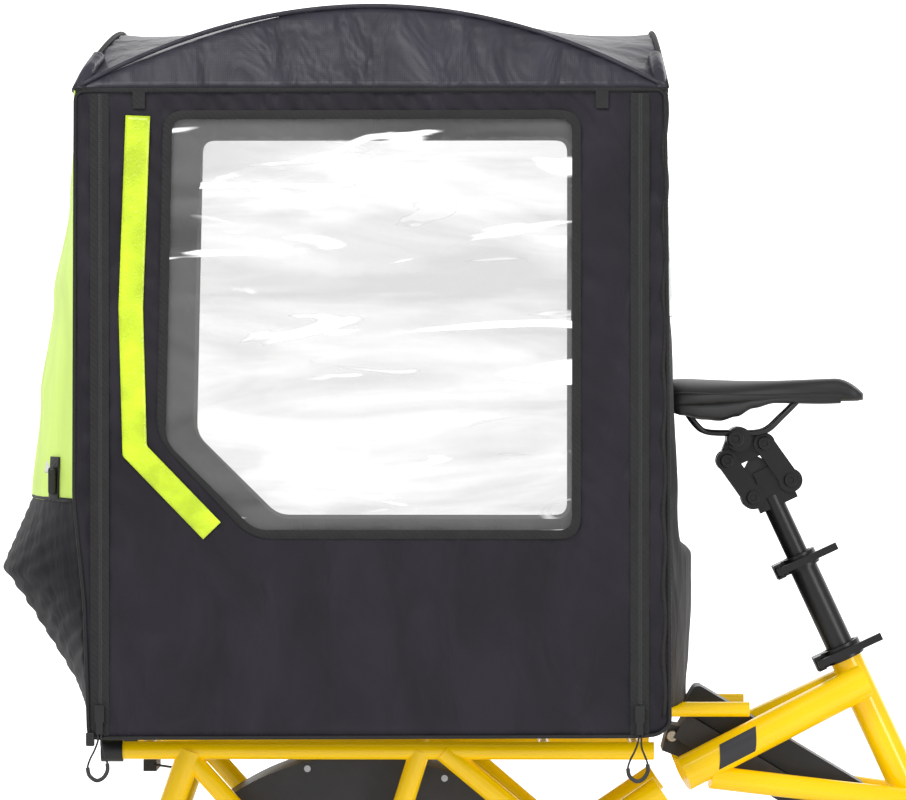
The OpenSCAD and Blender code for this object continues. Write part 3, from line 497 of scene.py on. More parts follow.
def panel_outline():
    """Outline of a side panel in X and Z, with its front foot rounded."""
    corners = [(REAR_X, SEAM_Z - MM), (REAR_X - 0.002, SEAM_Z - 0.477), (REAR_X + 0.010, SEAM_Z - 0.599),
               (REAR_X + 0.015, HEM_Z + MM), (FRONT_X - 0.031, HEM_Z + 0.004),
               (FRONT_X - 0.010, HEM_Z + 0.006), (FRONT_X + 0.004, HEM_Z + 0.017),
               (FRONT_X + 0.002, SEAM_Z - 0.361), (FRONT_X - 0.002, SEAM_Z)]
    return rounded(corners, 0.012)


WIN_Z0, WIN_Z1 = HEM_Z + 0.243, SEAM_Z - 0.033
WIN_X0, WIN_X1 = REAR_X + 0.112, FRONT_X - 0.109
WIN_CUT = 0.104                              # size of the window's slanted lower rear corner
WIN_LEAN = 0.008                             # how far its rear edge leans back towards the foot
REAR_ZIP_X, FRONT_ZIP_X = REAR_X + 0.028, FRONT_X - 0.031
REAR_TAB_X, FRONT_TAB_X = REAR_X + 0.074, FRONT_X - 0.075


def window_outline(g=0.0, r=0.016):
    """Outline of a side window, moved outwards by g."""
    corners = [(WIN_X0 - g, WIN_Z1 + g), (WIN_X0 - WIN_LEAN - g, WIN_Z0 + WIN_CUT + 0.4 * g),
               (WIN_X0 + WIN_CUT - WIN_LEAN - 0.4 * g, WIN_Z0 - g), (WIN_X1 + g, WIN_Z0 - g),
               (WIN_X1 + g, WIN_Z1 + g)]
    return rounded(corners, r + g)


def side_dent(x, z, s):
    """How far the stretched side panel lies behind its seams at a place."""
    seam = math.exp(-abs(SEAM_Z - z) / 0.02) * math.sin(x * 330 + 2 * wobble(x, s, z, 9)) * 0.0008
    gap = max(0.0, WIN_X0 - x, x - WIN_X1, WIN_Z0 - z)
    ripple = math.exp(-gap / 0.03) * math.sin((x + z) * 210 + 3 * wobble(x, s, z, 6)) * 0.0009
    sag = 0.0045 * max(0.0, wobble(x, s, z * 0.4, 7)) + 0.0014 * wobble(x, s, z, 26)
    edge = max(math.exp(-(x - REAR_X) / 0.05), math.exp(-(FRONT_X - x) / 0.06))
    folds = edge * 0.0013 * math.sin(z * 150 + x * 60 + 3 * wobble(x, s, z, 5))
    hem = math.exp(-(z - HEM_Z) / 0.05) * 0.0012 * math.sin(x * 120 + 3 * wobble(x, s, z, 8))
    return 0.0004 + max(0.0, seam + ripple + sag + folds + hem + 0.001)


def build_side(side, name, cfg):
    """One side panel: cloth, seams, window film, binding, zips, tape and tabs. side is -1 right, 1 left."""
    y = side * OUT_Y
    n, rings = 480, 26
    mid = Vector(((WIN_X0 + WIN_X1) / 2, (WIN_Z0 + WIN_Z1) / 2))
    outer = rays(panel_outline(), n, mid)
    inner = rays(window_outline(), n, mid)

    def cloth_point(u, v):
        i = round(u * (n - 1))
        p = inner[i].lerp(outer[i], v)
        dent = side_dent(p[0], p[1], side) * min(1, 12 * (1 - v)) * min(1, 0.4 + 6 * v)
        return (p[0], y - side * dent, p[1])

    panel = grid(f"{name}_cloth", cloth_point, n, rings, "side", thick=cfg.cloth_t * side, wrap=True)
    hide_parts(f"side_panel_{name}")

    edge = rays(window_outline(0.004), n, mid)

    def film_point(u, v):
        p = mid.lerp(edge[round(u * (n - 1))], v)
        fade = min(1, 5 * (1 - v))
        swell = 0.0035 * wobble(p[0], side * 3, p[1] * 0.7, 6) + 0.0018 * wobble(p[0], side, p[1], 17)
        crease = 0.0016 * math.sin((p[0] * 0.8 + p[1]) * 70 + 5 * wobble(p[0], 0, p[1], 5))
        return (p[0], y - side * (0.0042 + fade * (0.002 + swell + crease * 0.5)), p[1])

    pane = grid(f"{name}_window_film", film_point, n, 26, "film", wrap=True)

    band = cfg.binding_w
    lower, upper = rays(window_outline(-0.001), n, mid), rays(window_outline(band), n, mid)

    def band_point(u, v):
        i = round(u * (n - 1))
        p = lower[i].lerp(upper[i], v)
        stitch = 0.00025 * math.sin(i * 2.2) if 0.7 < v < 0.9 else 0
        crown = 0.0016 * math.sin(math.pi * (0.08 + 0.84 * v)) ** 0.5
        return (p[0], y + side * (0.0002 + crown - stitch), p[1])

    bind = grid(f"{name}_window_binding", band_point, n, 9, "binding", wrap=True)

    for tag, x in (("rear", REAR_ZIP_X), ("front", FRONT_ZIP_X)):
        build_zip(f"{name}_{tag}_zip", x, y, side)
    # Reflective tape bent round the window's rear lower corner
    tape_path = [(WIN_X0 - 0.039, WIN_Z1 + 0.003), (WIN_X0 - 0.0475, SEAM_Z - 0.2535),
                 (WIN_X0 - 0.043, WIN_Z0 + 0.093), (WIN_X0 + 0.047, WIN_Z0)]
    build_tape(f"{name}_tape", tape_path, y, side, cfg.tape_w)
    for tag, x in (("rear", REAR_TAB_X), ("front", FRONT_TAB_X)):
        tab = box(f"{name}_{tag}_tab", (x - 0.0075, min(y, y + side * 0.0025), SEAM_Z - 0.022),
                  (x + 0.0075, max(y, y + side * 0.0025), SEAM_Z + 0.001), "strap", bevel=0.0008)
    path = [(p[0], y + side * 0.0006, p[1]) for p in panel_outline()]
    tube(f"{name}_edge_binding", path, 0.0022, "binding", closed=True, sides=8)
    toggle = box(f"{name}_toggle", (REAR_X + 0.012, min(y, y + side * 0.006), HEM_Z - 0.008),
                 (REAR_X + 0.022, max(y, y + side * 0.006), HEM_Z + 0.008), "plastic")


ZIP_TAPE_W, COIL_W, COIL_PITCH = 0.022, 0.006, 0.0025


def build_zip(name, x, y, side):
    """A coil zip on its tape, straight up a side panel."""
    z0, z1 = HEM_Z + 0.004, SEAM_Z - 0.004

    def tape_point(u, v):
        z = z0 + u * (z1 - z0)
        return (x + (v - 0.5) * ZIP_TAPE_W, y + side * (0.0003 + 0.0006 * math.sin(math.pi * v) ** 0.5), z)

    strip = grid(name + "_tape", tape_point, 160, 7, "binding")

    def coil_point(u, v):
        z = z0 + u * (z1 - z0)
        ridge = 0.75 + 0.25 * math.cos(u * (z1 - z0) / COIL_PITCH * 2 * math.pi)
        crown = 0.0015 * ridge * math.sin(math.pi * v) ** 0.6
        return (x + (v - 0.5) * COIL_W, y + side * (0.0006 + crown), z)

    coil = grid(name + "_coil", coil_point, 900, 7, "plastic")


def build_tape(name, path, y, side, width):
    """Tape laid flat along a path of (x, z) points with mitred corners."""
    pts = [Vector(p) for p in path]
    left, right = [], []
    for i, p in enumerate(pts):
        a = (p - pts[i - 1]).normalized() if i else (pts[1] - p).normalized()
        b = (pts[i + 1] - p).normalized() if i < len(pts) - 1 else a
        n = Vector((-(a + b)[1], (a + b)[0])).normalized()
        w = width / 2 / max(0.3, n.dot(Vector((-a[1], a[0]))))
        left.append(p + n * w)
        right.append(p - n * w)

    def point(u, v):
        s = u * (len(pts) - 1)
        i = min(int(s), len(pts) - 2)
        p = left[i].lerp(left[i + 1], s - i).lerp(right[i].lerp(right[i + 1], s - i), v)
        return (p[0], y + side * (0.0013 + 0.0005 * wobble(p[0], side, p[1], 30)), p[1])

    strip = grid(name, point, 120, 7, "tape", thick=0.0005 * -side)


class BICYCLE_OT_cabin_sides(bpy.types.Operator):
    """Builds both side panels with their windows, zips and tape"""
    bl_idname = "bicycle.cabin_sides"
    bl_label = "Cabin sides"

    def execute(self, context):
        cfg = context.scene.bicycle_cabin
        for side, name in ((-1, "right"), (1, "left")):
            build_side(side, name, cfg)
        pane = bpy.data.objects.get("right_window_film")
        if pane is None:
            raise RuntimeError("the windows are missing")
        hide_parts("window_films")
        return {"FINISHED"}


# ---------- roof and end panels ----------

ARCH_RISE, HOOP_RISE = 0.099, 0.080          # rise of the side arches and of the end hoops
ARCH_INSET = 0.2                             # how far the arches lean in at their tops, as a share


def arch_inset(t):
    """Place of the side arches across the roof, as a share of its half width."""
    return 1 - ARCH_INSET * (1 - t * t)


def roof_height(t, v):
    """Height of the roof over its seam; t runs from -1 at the rear to 1 at the front, v across."""
    arch = ARCH_RISE * (1 - t * t)
    inset = arch_inset(t)
    ridge = HOOP_RISE + 0.028 * (1 - t * t) ** 3 - 0.016 * (1 - t * t) * t * t
    w = abs(v)
    if w <= inset:
        return arch + (ridge - arch) * (1 - (w / inset) ** 2)
    return arch * (1 - w) / max(1 - inset, 1e-6)


def roof_lean(u, h):
    """How far the roof's ends lean inwards at a height h over the seam; u runs from rear to front."""
    return (0.034 * (1 - u) ** 3 - 0.011 * u ** 3) * max(0.0, h) / HOOP_RISE


def build_gable(tag, x, u, mat):
    """Cloth that closes the end of the roof under its hoop."""
    def point(a, b):
        w = 2 * b - 1
        h = roof_height(2 * u - 1, w) * a
        z = SEAM_Z - 0.003 + h
        return (x + roof_lean(u, h) + (0.002 if u < 0.5 else -0.002) - 0.002 * wobble(w, a, u, 6),
                w * (OUT_Y - 0.003), z)

    sheet = grid(f"{tag}_gable_cloth", point, 24, 80, mat)


def build_roof():
    """The roof's cloth with its piping, arch seams, welts and pole sleeves."""
    def point(u, v):
        t, w = 2 * u - 1, 2 * v - 1
        x = REAR_X + u * (FRONT_X - REAR_X)
        y = w * OUT_Y
        z = SEAM_Z + 0.0015 + roof_height(t, w)
        x += roof_lean(u, z - SEAM_Z)
        slack = (1 - t * t) * (1 - w * w)
        z -= 0.004 * slack * max(0, wobble(x, y, 0, 5)) + 0.0012 * wobble(x, y, 1, 22) * slack ** 0.5
        z -= 0.0009 * math.sin(y * 160 + 3 * wobble(x, y, 2, 4)) * math.exp(-(1 - abs(t)) * 9)
        return (x, y, z)

    roof = grid("roof_cloth", point, 140, 110, "roof", thick=0.0022)
    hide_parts("roof")
    for tag, x in (("rear", REAR_X), ("front", FRONT_X)):
        end_u = 1 if x > AXLE_X else 0
        path = []
        for w in range(-20, 21):
            h = roof_height(2 * end_u - 1, w / 20)
            path.append((x + roof_lean(end_u, h), w / 20 * OUT_Y, SEAM_Z + 0.003 + h))
        build_gable(tag, x, end_u, "roof" if end_u == 0 else "front")
        tube(f"roof_{tag}_piping", path, 0.003, "binding", up=Vector((1, 0, 0)))
    for side, tag in ((-1, "right"), (1, "left")):
        seam = []
        for i in range(61):
            t = i / 30 - 1
            seam.append((REAR_X + i / 60 * (FRONT_X - REAR_X), side * arch_inset(t) * OUT_Y,
                         SEAM_Z + 0.0025 + ARCH_RISE * (1 - t * t)))
        tube(f"roof_{tag}_arch_seam", seam, 0.0028, "roof", sides=8)
        welt = [(REAR_X + i / 20 * (FRONT_X - REAR_X), side * (OUT_Y + 0.0005),
                 SEAM_Z + 0.0005) for i in range(21)]
        tube(f"roof_{tag}_welt", welt, 0.0024, "binding", sides=8, up=Vector((0, 0, 1)))
        for end, x in (("rear", REAR_X + 0.003), ("front", FRONT_X - 0.006)):
            end_u = 0 if end == "rear" else 1
            horn = [(x + roof_lean(end_u, h), side * (OUT_Y - inward), SEAM_Z + h)
                    for h, inward in ((-0.002, 0.004), (0.022, 0.024), (0.042, 0.060))]
            tube(f"roof_{tag}_{end}_pole_sleeve", smooth_path(horn), 0.0085, "roof",
                         up=Vector((1, 0, 0)))


def rows_at(rows, z):
    """x at the corners and at the middle for a height, from rows of (height, corner, middle)."""
    for a, b in zip(rows, rows[1:]):
        if z >= b[0] - 1e-9:
            t = (a[0] - z) / (a[0] - b[0])
            t = t * t * (3 - 2 * t)
            return a[1] + (b[1] - a[1]) * t, a[2] + (b[2] - a[2]) * t
    return rows[-1][1], rows[-1][2]


def end_sheet(name, rows, mat, node=None, dent=None, lift=0.0, v0=0.0, v1=1.0, z0=None, z1=None,
              thick=0.0022, nu=120, nv=90):
    """Cloth across an end of the cabin. rows holds (height, x at the corners, x at the middle)."""
    z1 = rows[0][0] if z1 is None else z1
    z0 = rows[-1][0] if z0 is None else z0
    out = 1 if rows[0][1] > AXLE_X else -1

    def point(u, v):
        z = z1 + (z0 - z1) * u
        w = 2 * (v0 + (v1 - v0) * v) - 1
        corner, middle = rows_at(rows, z)
        x = corner + (middle - corner) * (1 - w * w) + out * lift
        if dent:
            x -= out * dent(w * OUT_Y, z)
        return (x, w * (OUT_Y - 0.003), z)

    obj = grid(name, point, nu, nv, mat, thick=thick * -out)
    if node:
        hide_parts(node)
    return obj


def dense(rows, steps=7):
    """Rows split finely, so that the cloth runs straight between the given ones."""
    out = []
    for a, b in zip(rows, rows[1:]):
        out += [tuple(a[k] + (b[k] - a[k]) * i / steps for k in range(3)) for i in range(steps)]
    return out + [rows[-1]]


POUCH_TOP = HEM_Z + 0.278
# Heights of the end panels, each with x at the corners and at the middle
BACK_ROWS = [(SEAM_Z, REAR_X, REAR_X - 0.002), (SEAM_Z - 0.119, REAR_X - MM, REAR_X - 0.022),
             (SEAM_Z - 0.240, REAR_X - MM, REAR_X - 0.046), (SEAM_Z - 0.363, REAR_X - MM, REAR_X - 0.063),
             (POUCH_TOP - 0.002, REAR_X - 0.002, REAR_X - 0.074)]
POUCH_ROWS = dense([(POUCH_TOP, REAR_X - MM, REAR_X - 0.072), (HEM_Z + 0.191, REAR_X + 0.006, POUCH_TIP_X),
                    (HEM_Z + 0.060, REAR_X + 0.012, REAR_X - 0.018),
                    (HEM_Z + 0.002, REAR_X + 0.015, REAR_X + 0.008)])
FRONT_ROWS = [(SEAM_Z, FRONT_X - 0.004, FRONT_X - MM), (SEAM_Z - 0.090, FRONT_X - 0.003, FRONT_X + 0.006),
              (SEAM_Z - 0.200, FRONT_X - 0.003, FRONT_X + 0.010),
              (SEAM_Z - 0.330, FRONT_X - 0.003, FRONT_X + 0.022),
              (SEAM_Z - 0.480, FRONT_X - 0.003, FRONT_X + 0.036),
              (SEAM_Z - 0.600, FRONT_X - 0.003, FRONT_X + 0.036),
              (HEM_Z + 0.034, FRONT_X - 0.004, FRONT_X + 0.030)]
DISH_TOP, DISH_LOW = SEAM_Z - 0.285, SEAM_Z - 0.500       # the hollow behind the saddle


def dish(y, z):
    """Depth of the hollow that the front panel makes behind the saddle."""
    if z > DISH_TOP or z < DISH_LOW:
        rise = max(0.0, 1 - (max(z - DISH_TOP, DISH_LOW - z) / 0.050))
    else:
        rise = 1.0
    rise = rise * rise * (3 - 2 * rise)
    bulge = rows_at(FRONT_ROWS, z)[1] - FRONT_X
    return (bulge * (1 - (y / OUT_Y) ** 2) + 0.040) * rise * math.exp(-(y / 0.118) ** 4)


GREY_TAPE_TOP, GREY_TAPE_LOW = SEAM_Z - 0.222, SEAM_Z - 0.344


def build_rear():
    """The bright rear panel, the pouch under it, grey reflective tapes, straps and buckles."""
    def soft(y, z):
        return 0.004 * max(0.0, wobble(0, y, z * 0.5, 7)) + 0.0008 * wobble(3, y, z, 30)

    def folds(y, z):
        k = math.exp(-((z - HEM_Z - 0.16) / 0.08) ** 2)
        radial = math.sin((abs(y) * 0.55 + (HEM_Z + 0.19 - z) * 1.3) * 190 + 3 * wobble(0, y, z, 8))
        return 0.0016 * k * (abs(y) / OUT_Y) * (1 + radial) + 0.005 * max(0, wobble(1, y, z, 9))

    end_sheet("rear_green_cloth", BACK_ROWS, "green", node="rear_panel", dent=soft)
    end_sheet("rear_pouch_cloth", POUCH_ROWS, "pouch", node="rear_pouch", dent=folds)
    for name, v0, v1 in (("rear_grey_tape", 0.02, 0.052), ("rear_grey_tape_left", 0.948, 0.98)):
        end_sheet(name, BACK_ROWS, "grey_tape", z1=GREY_TAPE_TOP, z0=GREY_TAPE_LOW,
                  v0=v0, v1=v1, thick=0.0005, nu=40, nv=6, lift=0.001)
    end_sheet("rear_hem_tape", BACK_ROWS, "grey_tape", z1=POUCH_TOP + 0.062,
              z0=POUCH_TOP + 0.030, v0=0.08, v1=0.92, thick=0.0005, nu=14, nv=80, lift=0.0012)
    for tag, v in (("right", 0.10), ("left", 0.90)):
        end_sheet(f"rear_strap_{tag}", BACK_ROWS, "strap", z1=POUCH_TOP + 0.050,
                  z0=POUCH_TOP, v0=v - 0.03, v1=v + 0.03, thick=0.0015, nu=30, nv=10, lift=0.003)
        w = 2 * v - 1
        x = REAR_X - 0.07 * (1 - w * w)
        buckle = box(f"rear_buckle_{tag}", (x - 0.011, w * OUT_Y - 0.016, POUCH_TOP + 0.006),
                     (x - 0.002, w * OUT_Y + 0.016, POUCH_TOP + 0.038), "plastic", bevel=0.003)
    seam = [(rows_at(BACK_ROWS, POUCH_TOP)[0] - 0.071 * (1 - (w / 20) ** 2) - MM,
             w / 20 * (OUT_Y - 0.002), POUCH_TOP) for w in range(-20, 21)]
    tube("rear_pouch_piping", seam, 0.0026, "binding", up=Vector((0, 0, 1)))


def build_front():
    """The front panel with its clear window and edge piping."""
    def soft(y, z):
        edge = abs(y) / OUT_Y
        sag = 0.003 * max(0.0, wobble(7, y, z * 0.6, 8)) + 0.0009 * wobble(3, y, z, 28)
        return sag + 0.001 * edge + dish(y, z)

    end_sheet("front_cloth", FRONT_ROWS, "front", node="front_panel", dent=soft, nu=170)
    pane = end_sheet("front_window_film", FRONT_ROWS, "film", z1=SEAM_Z - 0.065, z0=SEAM_Z - 0.262,
                     v0=0.06, v1=0.94, thick=0.0005, nu=60, nv=60, lift=0.0025)
    pane.visible_shadow = False
    for side, tag in ((-1, "right"), (1, "left")):
        path = [(FRONT_X - 0.002 + 0.0015 * math.sin(i * 0.9), side * (OUT_Y - 0.002),
                 SEAM_Z - 0.004 - i * (SEAM_Z - HEM_Z - 0.03) / 60)
                for i in range(61)]
        tube(f"front_{tag}_piping", path, 0.0035, "binding", up=Vector((0, 1, 0)))


class BICYCLE_OT_cabin_roof(bpy.types.Operator):
    """Builds the roof with its piping and seams"""
    bl_idname = "bicycle.cabin_roof"
    bl_label = "Cabin roof"

    def execute(self, context):
        build_roof()
        return {"FINISHED"}


class BICYCLE_OT_cabin_rear(bpy.types.Operator):
    """Builds the rear panel with its pouch, tapes and straps"""
    bl_idname = "bicycle.cabin_rear"
    bl_label = "Cabin rear"

    def execute(self, context):
        build_rear()
        return {"FINISHED"}


class BICYCLE_OT_cabin_front(bpy.types.Operator):
    """Builds the front panel with its window"""
    bl_idname = "bicycle.cabin_front"
    bl_label = "Cabin front"

    def execute(self, context):
        build_front()
        return {"FINISHED"}


# ---------- zip pulls ----------

# Route of a pull's cord under its slider, as (forward, up) in metres
PULL_ROUTE = [(-0.002, 0), (-0.002, -0.008), (-0.006, -0.019), (-0.011, -0.029), (-0.014, -0.039),
              (-0.012, -0.048), (-0.004, -0.054), (0.004, -0.051), (0.009, -0.043), (0.009, -0.034),
              (0.006, -0.025), (0.002, -0.014), (0.002, 0)]
PULL_D = 0.0024


class BICYCLE_OT_zip_pulls(bpy.types.Operator):
    """Builds the four looped cords under the zip sliders with their moulded grips"""
    bl_idname = "bicycle.zip_pulls"
    bl_label = "Zip pulls"

    def execute(self, context):
        for side in ("right", "left"):
            for end in ("rear", "front"):
                build_pull(side, end)
        return {"FINISHED"}


def build_pull(side, end):
    """One looped cord under a zip slider, with its grip."""
    lo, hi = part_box(f"slider_{side}_{end}")
    x, z = (lo[0] + hi[0]) / 2, lo[2]
    y = (lo[1] + hi[1]) / 2 + (0.0008 if side == "right" else -0.0008)
    body = f"zip_{side}_{end}"
    route = [Vector((x + a, y, z + b)) for a, b in PULL_ROUTE]
    line = smooth_path(route, 5)
    curve = bpy.data.curves.new(f"pull_cord_{side}_{end}", "CURVE")
    curve.dimensions = "3D"
    curve.bevel_depth = PULL_D / 2
    curve.bevel_resolution = 3
    spline = curve.splines.new("POLY")
    spline.points.add(len(line) - 1)
    for point, p in zip(spline.points, line):
        point.co = (*p, 1)
    cord = bpy.data.objects.new(curve.name, curve)
    bpy.context.scene.collection.objects.link(cord)
    curve.materials.append(MATS["cord"])
    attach(cord, body)
    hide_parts(f"pull_{side}_{end}")
    grip = tube(f"pull_grip_{side}_{end}", smooth_path(route[4:10], 6), 0.0024, "grip", body=body, sides=12)


# ---------- saddle ----------

class SaddleSettings(bpy.types.PropertyGroup):
    """Shape of the saddle's cover."""
    cover_depth: length_setting("Padding depth", "Depth of the padded cover below its top", 0.024)
    roundness: bpy.props.FloatProperty(name="Edge roundness", description="How square the cover's section is",
                                       default=2.7, min=2, max=6)


SADDLE_LO, SADDLE_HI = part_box("saddle")
NOSE_X, SADDLE_TOP = SADDLE_HI[0] + 0.009, SADDLE_HI[2]
SADDLE_LEN = 0.259
SADDLE_HALF = (SADDLE_HI[1] - SADDLE_LO[1]) / 2
CLAMP = Vector((SADDLE_HI[0] - 0.147, 0, SADDLE_TOP - 0.068))
# Depth of the saddle's underside below its top, as (part of its length, depth)
DEPTHS = [(0, 0.029), (0.06, 0.032), (0.2, 0.033), (0.42, 0.032), (0.52, 0.038), (0.6, 0.048), (0.68, 0.053),
          (0.76, 0.051), (0.86, 0.045), (0.95, 0.034), (1, 0.022)]


def run(table, t):
    """Smooth value from a table of (place, value)."""
    for (a, p), (b, q) in zip(table, table[1:]):
        if t <= b:
            s = (t - a) / (b - a)
            return p + (q - p) * s * s * (3 - 2 * s)
    return table[-1][1]


def saddle_half(t):
    """Half width of the saddle at t along it from its nose."""
    half = 0.018 + (SADDLE_HALF - 0.018) * ((1 - math.cos(math.pi * min(1, t * 1.12) ** 1.5)) / 2) ** 1.15
    nose = math.sqrt(max(0.0, 1 - (1 - min(1, t / 0.07)) ** 2))
    tail = math.sqrt(max(0.0, 1 - (max(0.0, t - 0.86) / 0.142) ** 2))
    return half * max(0.06, nose) * max(0.25, tail)


def saddle_top(t):
    """Height of the saddle's centre line."""
    nose = 0.019 * max(0.0, 1 - t / 0.14) ** 2
    sway = 0.0035 * math.sin(math.pi * t) ** 2
    tail = 0.004 * max(0, t - 0.85) / 0.15
    return SADDLE_TOP - 0.001 - nose - sway - tail


def saddle_shell(name, top_drop, under, shrink, mat, roundness, start=0.002, end=0.998):
    """A closed shell along the saddle, from top_drop below its top down to under(t)."""
    def point(u, v):
        t = start + (end - start) * (0.5 - 0.5 * math.cos(math.pi * v))
        a = 2 * math.pi * u
        c, s = math.cos(a), math.sin(a)
        half = saddle_half(t) * shrink
        top = saddle_top(t) - top_drop
        low = SADDLE_TOP - under(t)
        middle, tall = (top + low) / 2, max(0.002, (top - low) / 2)
        y = half * math.copysign(abs(c) ** (2 / roundness), c)
        z = middle + tall * math.copysign(abs(s) ** (2 / roundness), s)
        z -= 0.007 * (y / max(SADDLE_HALF, 1e-6)) ** 2
        return (NOSE_X - t * SADDLE_LEN, y, z)

    obj = grid(name, point, 72, 90, mat, body="saddle_head", wrap=True)
    close_ends(obj, 72, 90)
    return obj


def close_ends(obj, nu, nv):
    """Fills both ends of a wrapped grid."""
    mesh = bmesh.new()
    mesh.from_mesh(obj.data)
    mesh.verts.ensure_lookup_table()
    for j in (0, nv - 1):
        mesh.faces.new([mesh.verts[i * nv + j] for i in range(nu)])
    bmesh.ops.recalc_face_normals(mesh, faces=mesh.faces)
    mesh.to_mesh(obj.data)
    mesh.free()
    for poly in obj.data.polygons:
        poly.use_smooth = True


class BICYCLE_OT_saddle(bpy.types.Operator):
    """Builds the padded saddle, its base and its rails"""
    bl_idname = "bicycle.saddle"
    bl_label = "Saddle"

    def execute(self, context):
        cfg = context.scene.bicycle_saddle
        cover = saddle_shell("saddle_cover", 0,
                             lambda t: min(run(DEPTHS, t) - 0.001, cfg.cover_depth + 0.005 + 0.008 * t),
                             1.0, "saddle", cfg.roundness)
        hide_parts("saddle")
        base = saddle_shell("saddle_base", cfg.cover_depth * 0.7, lambda t: run(DEPTHS, t), 0.93, "plastic",
                            3.2, 0.11, 0.97)
        seam = []
        for i in range(61):
            t = 0.05 + 0.93 * i / 60
            seam.append((NOSE_X - t * SADDLE_LEN, -saddle_half(t) * 0.995,
                         saddle_top(t) - 0.007 - cfg.cover_depth * 0.42))
        for side, tag in ((1, "right"), (-1, "left")):
            line = [(p[0], p[1] * side, p[2]) for p in seam]
            tube(f"saddle_seam_{tag}", line, 0.0009, "saddle", body="saddle_head", sides=6)
            rail = [CLAMP + Vector((0.080, side * 0.012, 0.044)),
                    CLAMP + Vector((0.056, side * 0.017, 0.020)),
                    CLAMP + Vector((0.034, side * 0.022, 0.002)), CLAMP + Vector((0, side * 0.022, 0)),
                    CLAMP + Vector((-0.034, side * 0.022, 0.001)),
                    CLAMP + Vector((-0.048, side * 0.026, 0.010)),
                    CLAMP + Vector((-0.062, side * 0.030, 0.030))]
            tube(f"saddle_rail_{tag}", smooth_path(rail), 0.0035, "black", body="saddle_head")
        return {"FINISHED"}


# ---------- frame finishes and small parts ----------

FINISHES = {
    "yellow": ["head_tube", "down_tube", "seat_tube", "side_beams", "rear_stays", "rack_rails", "tail_struts",
               "mid_struts", "tail_bumper"],
    "black": ["motor", "fork_crown", "fork_legs", "handlepost", "centre_stand", "cranks", "seat_collar",
              "lower_post", "upper_post", "link_rear", "link_front", "seat_head", "collar_lever_lower",
              "collar_lever_upper", "rear_caliper", "cabin_poles"],
    "plastic": ["rail_end_caps", "battery", "rear_mudguard", "pedal_right", "pedal_left",
                "brake_lever_right", "brake_lever_left", "slider_right_rear", "slider_right_front",
                "slider_left_rear", "slider_left_front", "rear_light"],
    "grey_plastic": ["battery_dock", "side_guards"],
    "grip": ["handlebar"],
    "board": ["deck_board"],
    "tyre": ["rear_tyre", "front_tyre"],
    "wheel": ["rear_wheel", "front_wheel"],
    "steel": ["guard_screws", "sprocket"],
    "dark_steel": ["chain"],
}


def finish_node(name, mat):
    """Gives a CAD node's slots a material."""
    obj = frame["nodes"][name]
    if not obj.material_slots:
        obj.data.materials.append(MATS[mat])
    for item in obj.material_slots:
        item.material = MATS[mat]


def disc(name, centre, r, h, mat, body=FRAME_BODY, sides=32):
    """A low round head about the Y axis, standing out towards -Y, with a chamfered rim."""
    rings = [(r, 0), (r, -h * 0.7), (r * 0.86, -h), (r * 0.45, -h), (r * 0.40, -h * 0.6)]
    verts = [(centre[0] + q * math.cos(2 * math.pi * k / sides), centre[1] + d,
              centre[2] + q * math.sin(2 * math.pi * k / sides))
             for q, d in rings for k in range(sides)]
    n = len(rings)
    faces = [(i * sides + k, i * sides + (k + 1) % sides, (i + 1) * sides + (k + 1) % sides,
              (i + 1) * sides + k)
             for i in range(n - 1) for k in range(sides)]
    faces += [tuple(range(sides)), tuple((n - 1) * sides + k for k in range(sides - 1, -1, -1))]
    return add_object(name, verts, faces, mat, body, smooth=False)


class BICYCLE_OT_frame_finishes(bpy.types.Operator):
    """Gives each node of the frame its material"""
    bl_idname = "bicycle.frame_finishes"
    bl_label = "Frame finishes"

    def execute(self, context):
        for mat, nodes in FINISHES.items():
            for name in nodes:
                finish_node(name, mat)
        return {"FINISHED"}


class BICYCLE_OT_small_parts(bpy.types.Operator):
    """Adds the pivot and dock bolts, the seat's spring block and the plate on the beam"""
    bl_idname = "bicycle.small_parts"
    bl_label = "Small parts"

    def execute(self, context):
        build_seat_head()
        build_dock_bolt()
        build_beam_plate()
        return {"FINISHED"}


class BICYCLE_OT_tyre_tread(bpy.types.Operator):
    """Adds the tread blocks of both tyres"""
    bl_idname = "bicycle.tyre_tread"
    bl_label = "Tyre tread"

    def execute(self, context):
        build_tread("rear", "rear_tyre", "rear_wheel_set")
        build_tread("front", "front_tyre", "front_wheel_set")
        return {"FINISHED"}


class BICYCLE_OT_rear_lens(bpy.types.Operator):
    """Adds the red lens of the rear lamp"""
    bl_idname = "bicycle.rear_lens"
    bl_label = "Rear lens"

    def execute(self, context):
        lo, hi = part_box("rear_light")
        lens = box("rear_light_lens", (lo[0] - 0.003, -0.028, hi[2] - 0.0135),
                   (lo[0] + 0.001, 0.028, hi[2] - 0.003), "lens")
        return {"FINISHED"}


def joint_place(name):
    """Where a joint of the record is."""
    return Vector(next(j["pos_m"] for j in frame["record"]["behaviour"]["joints"] if j["name"] == name))


BLOCK_HALF = (0.0150, 0.0085, 0.0165)        # half sizes of the block between the seat head's links
BLOCK_MIDDLE = Vector((AXLE_X + 0.4805, 0, 0.8895))
BLOCK_TILT = math.radians(26)
BLOCK_CORNERS = [(-1, -1, -1), (1, -1, -1), (1, 1, -1), (-1, 1, -1), (-1, -1, 1), (1, -1, 1), (1, 1, 1),
                 (-1, 1, 1)]


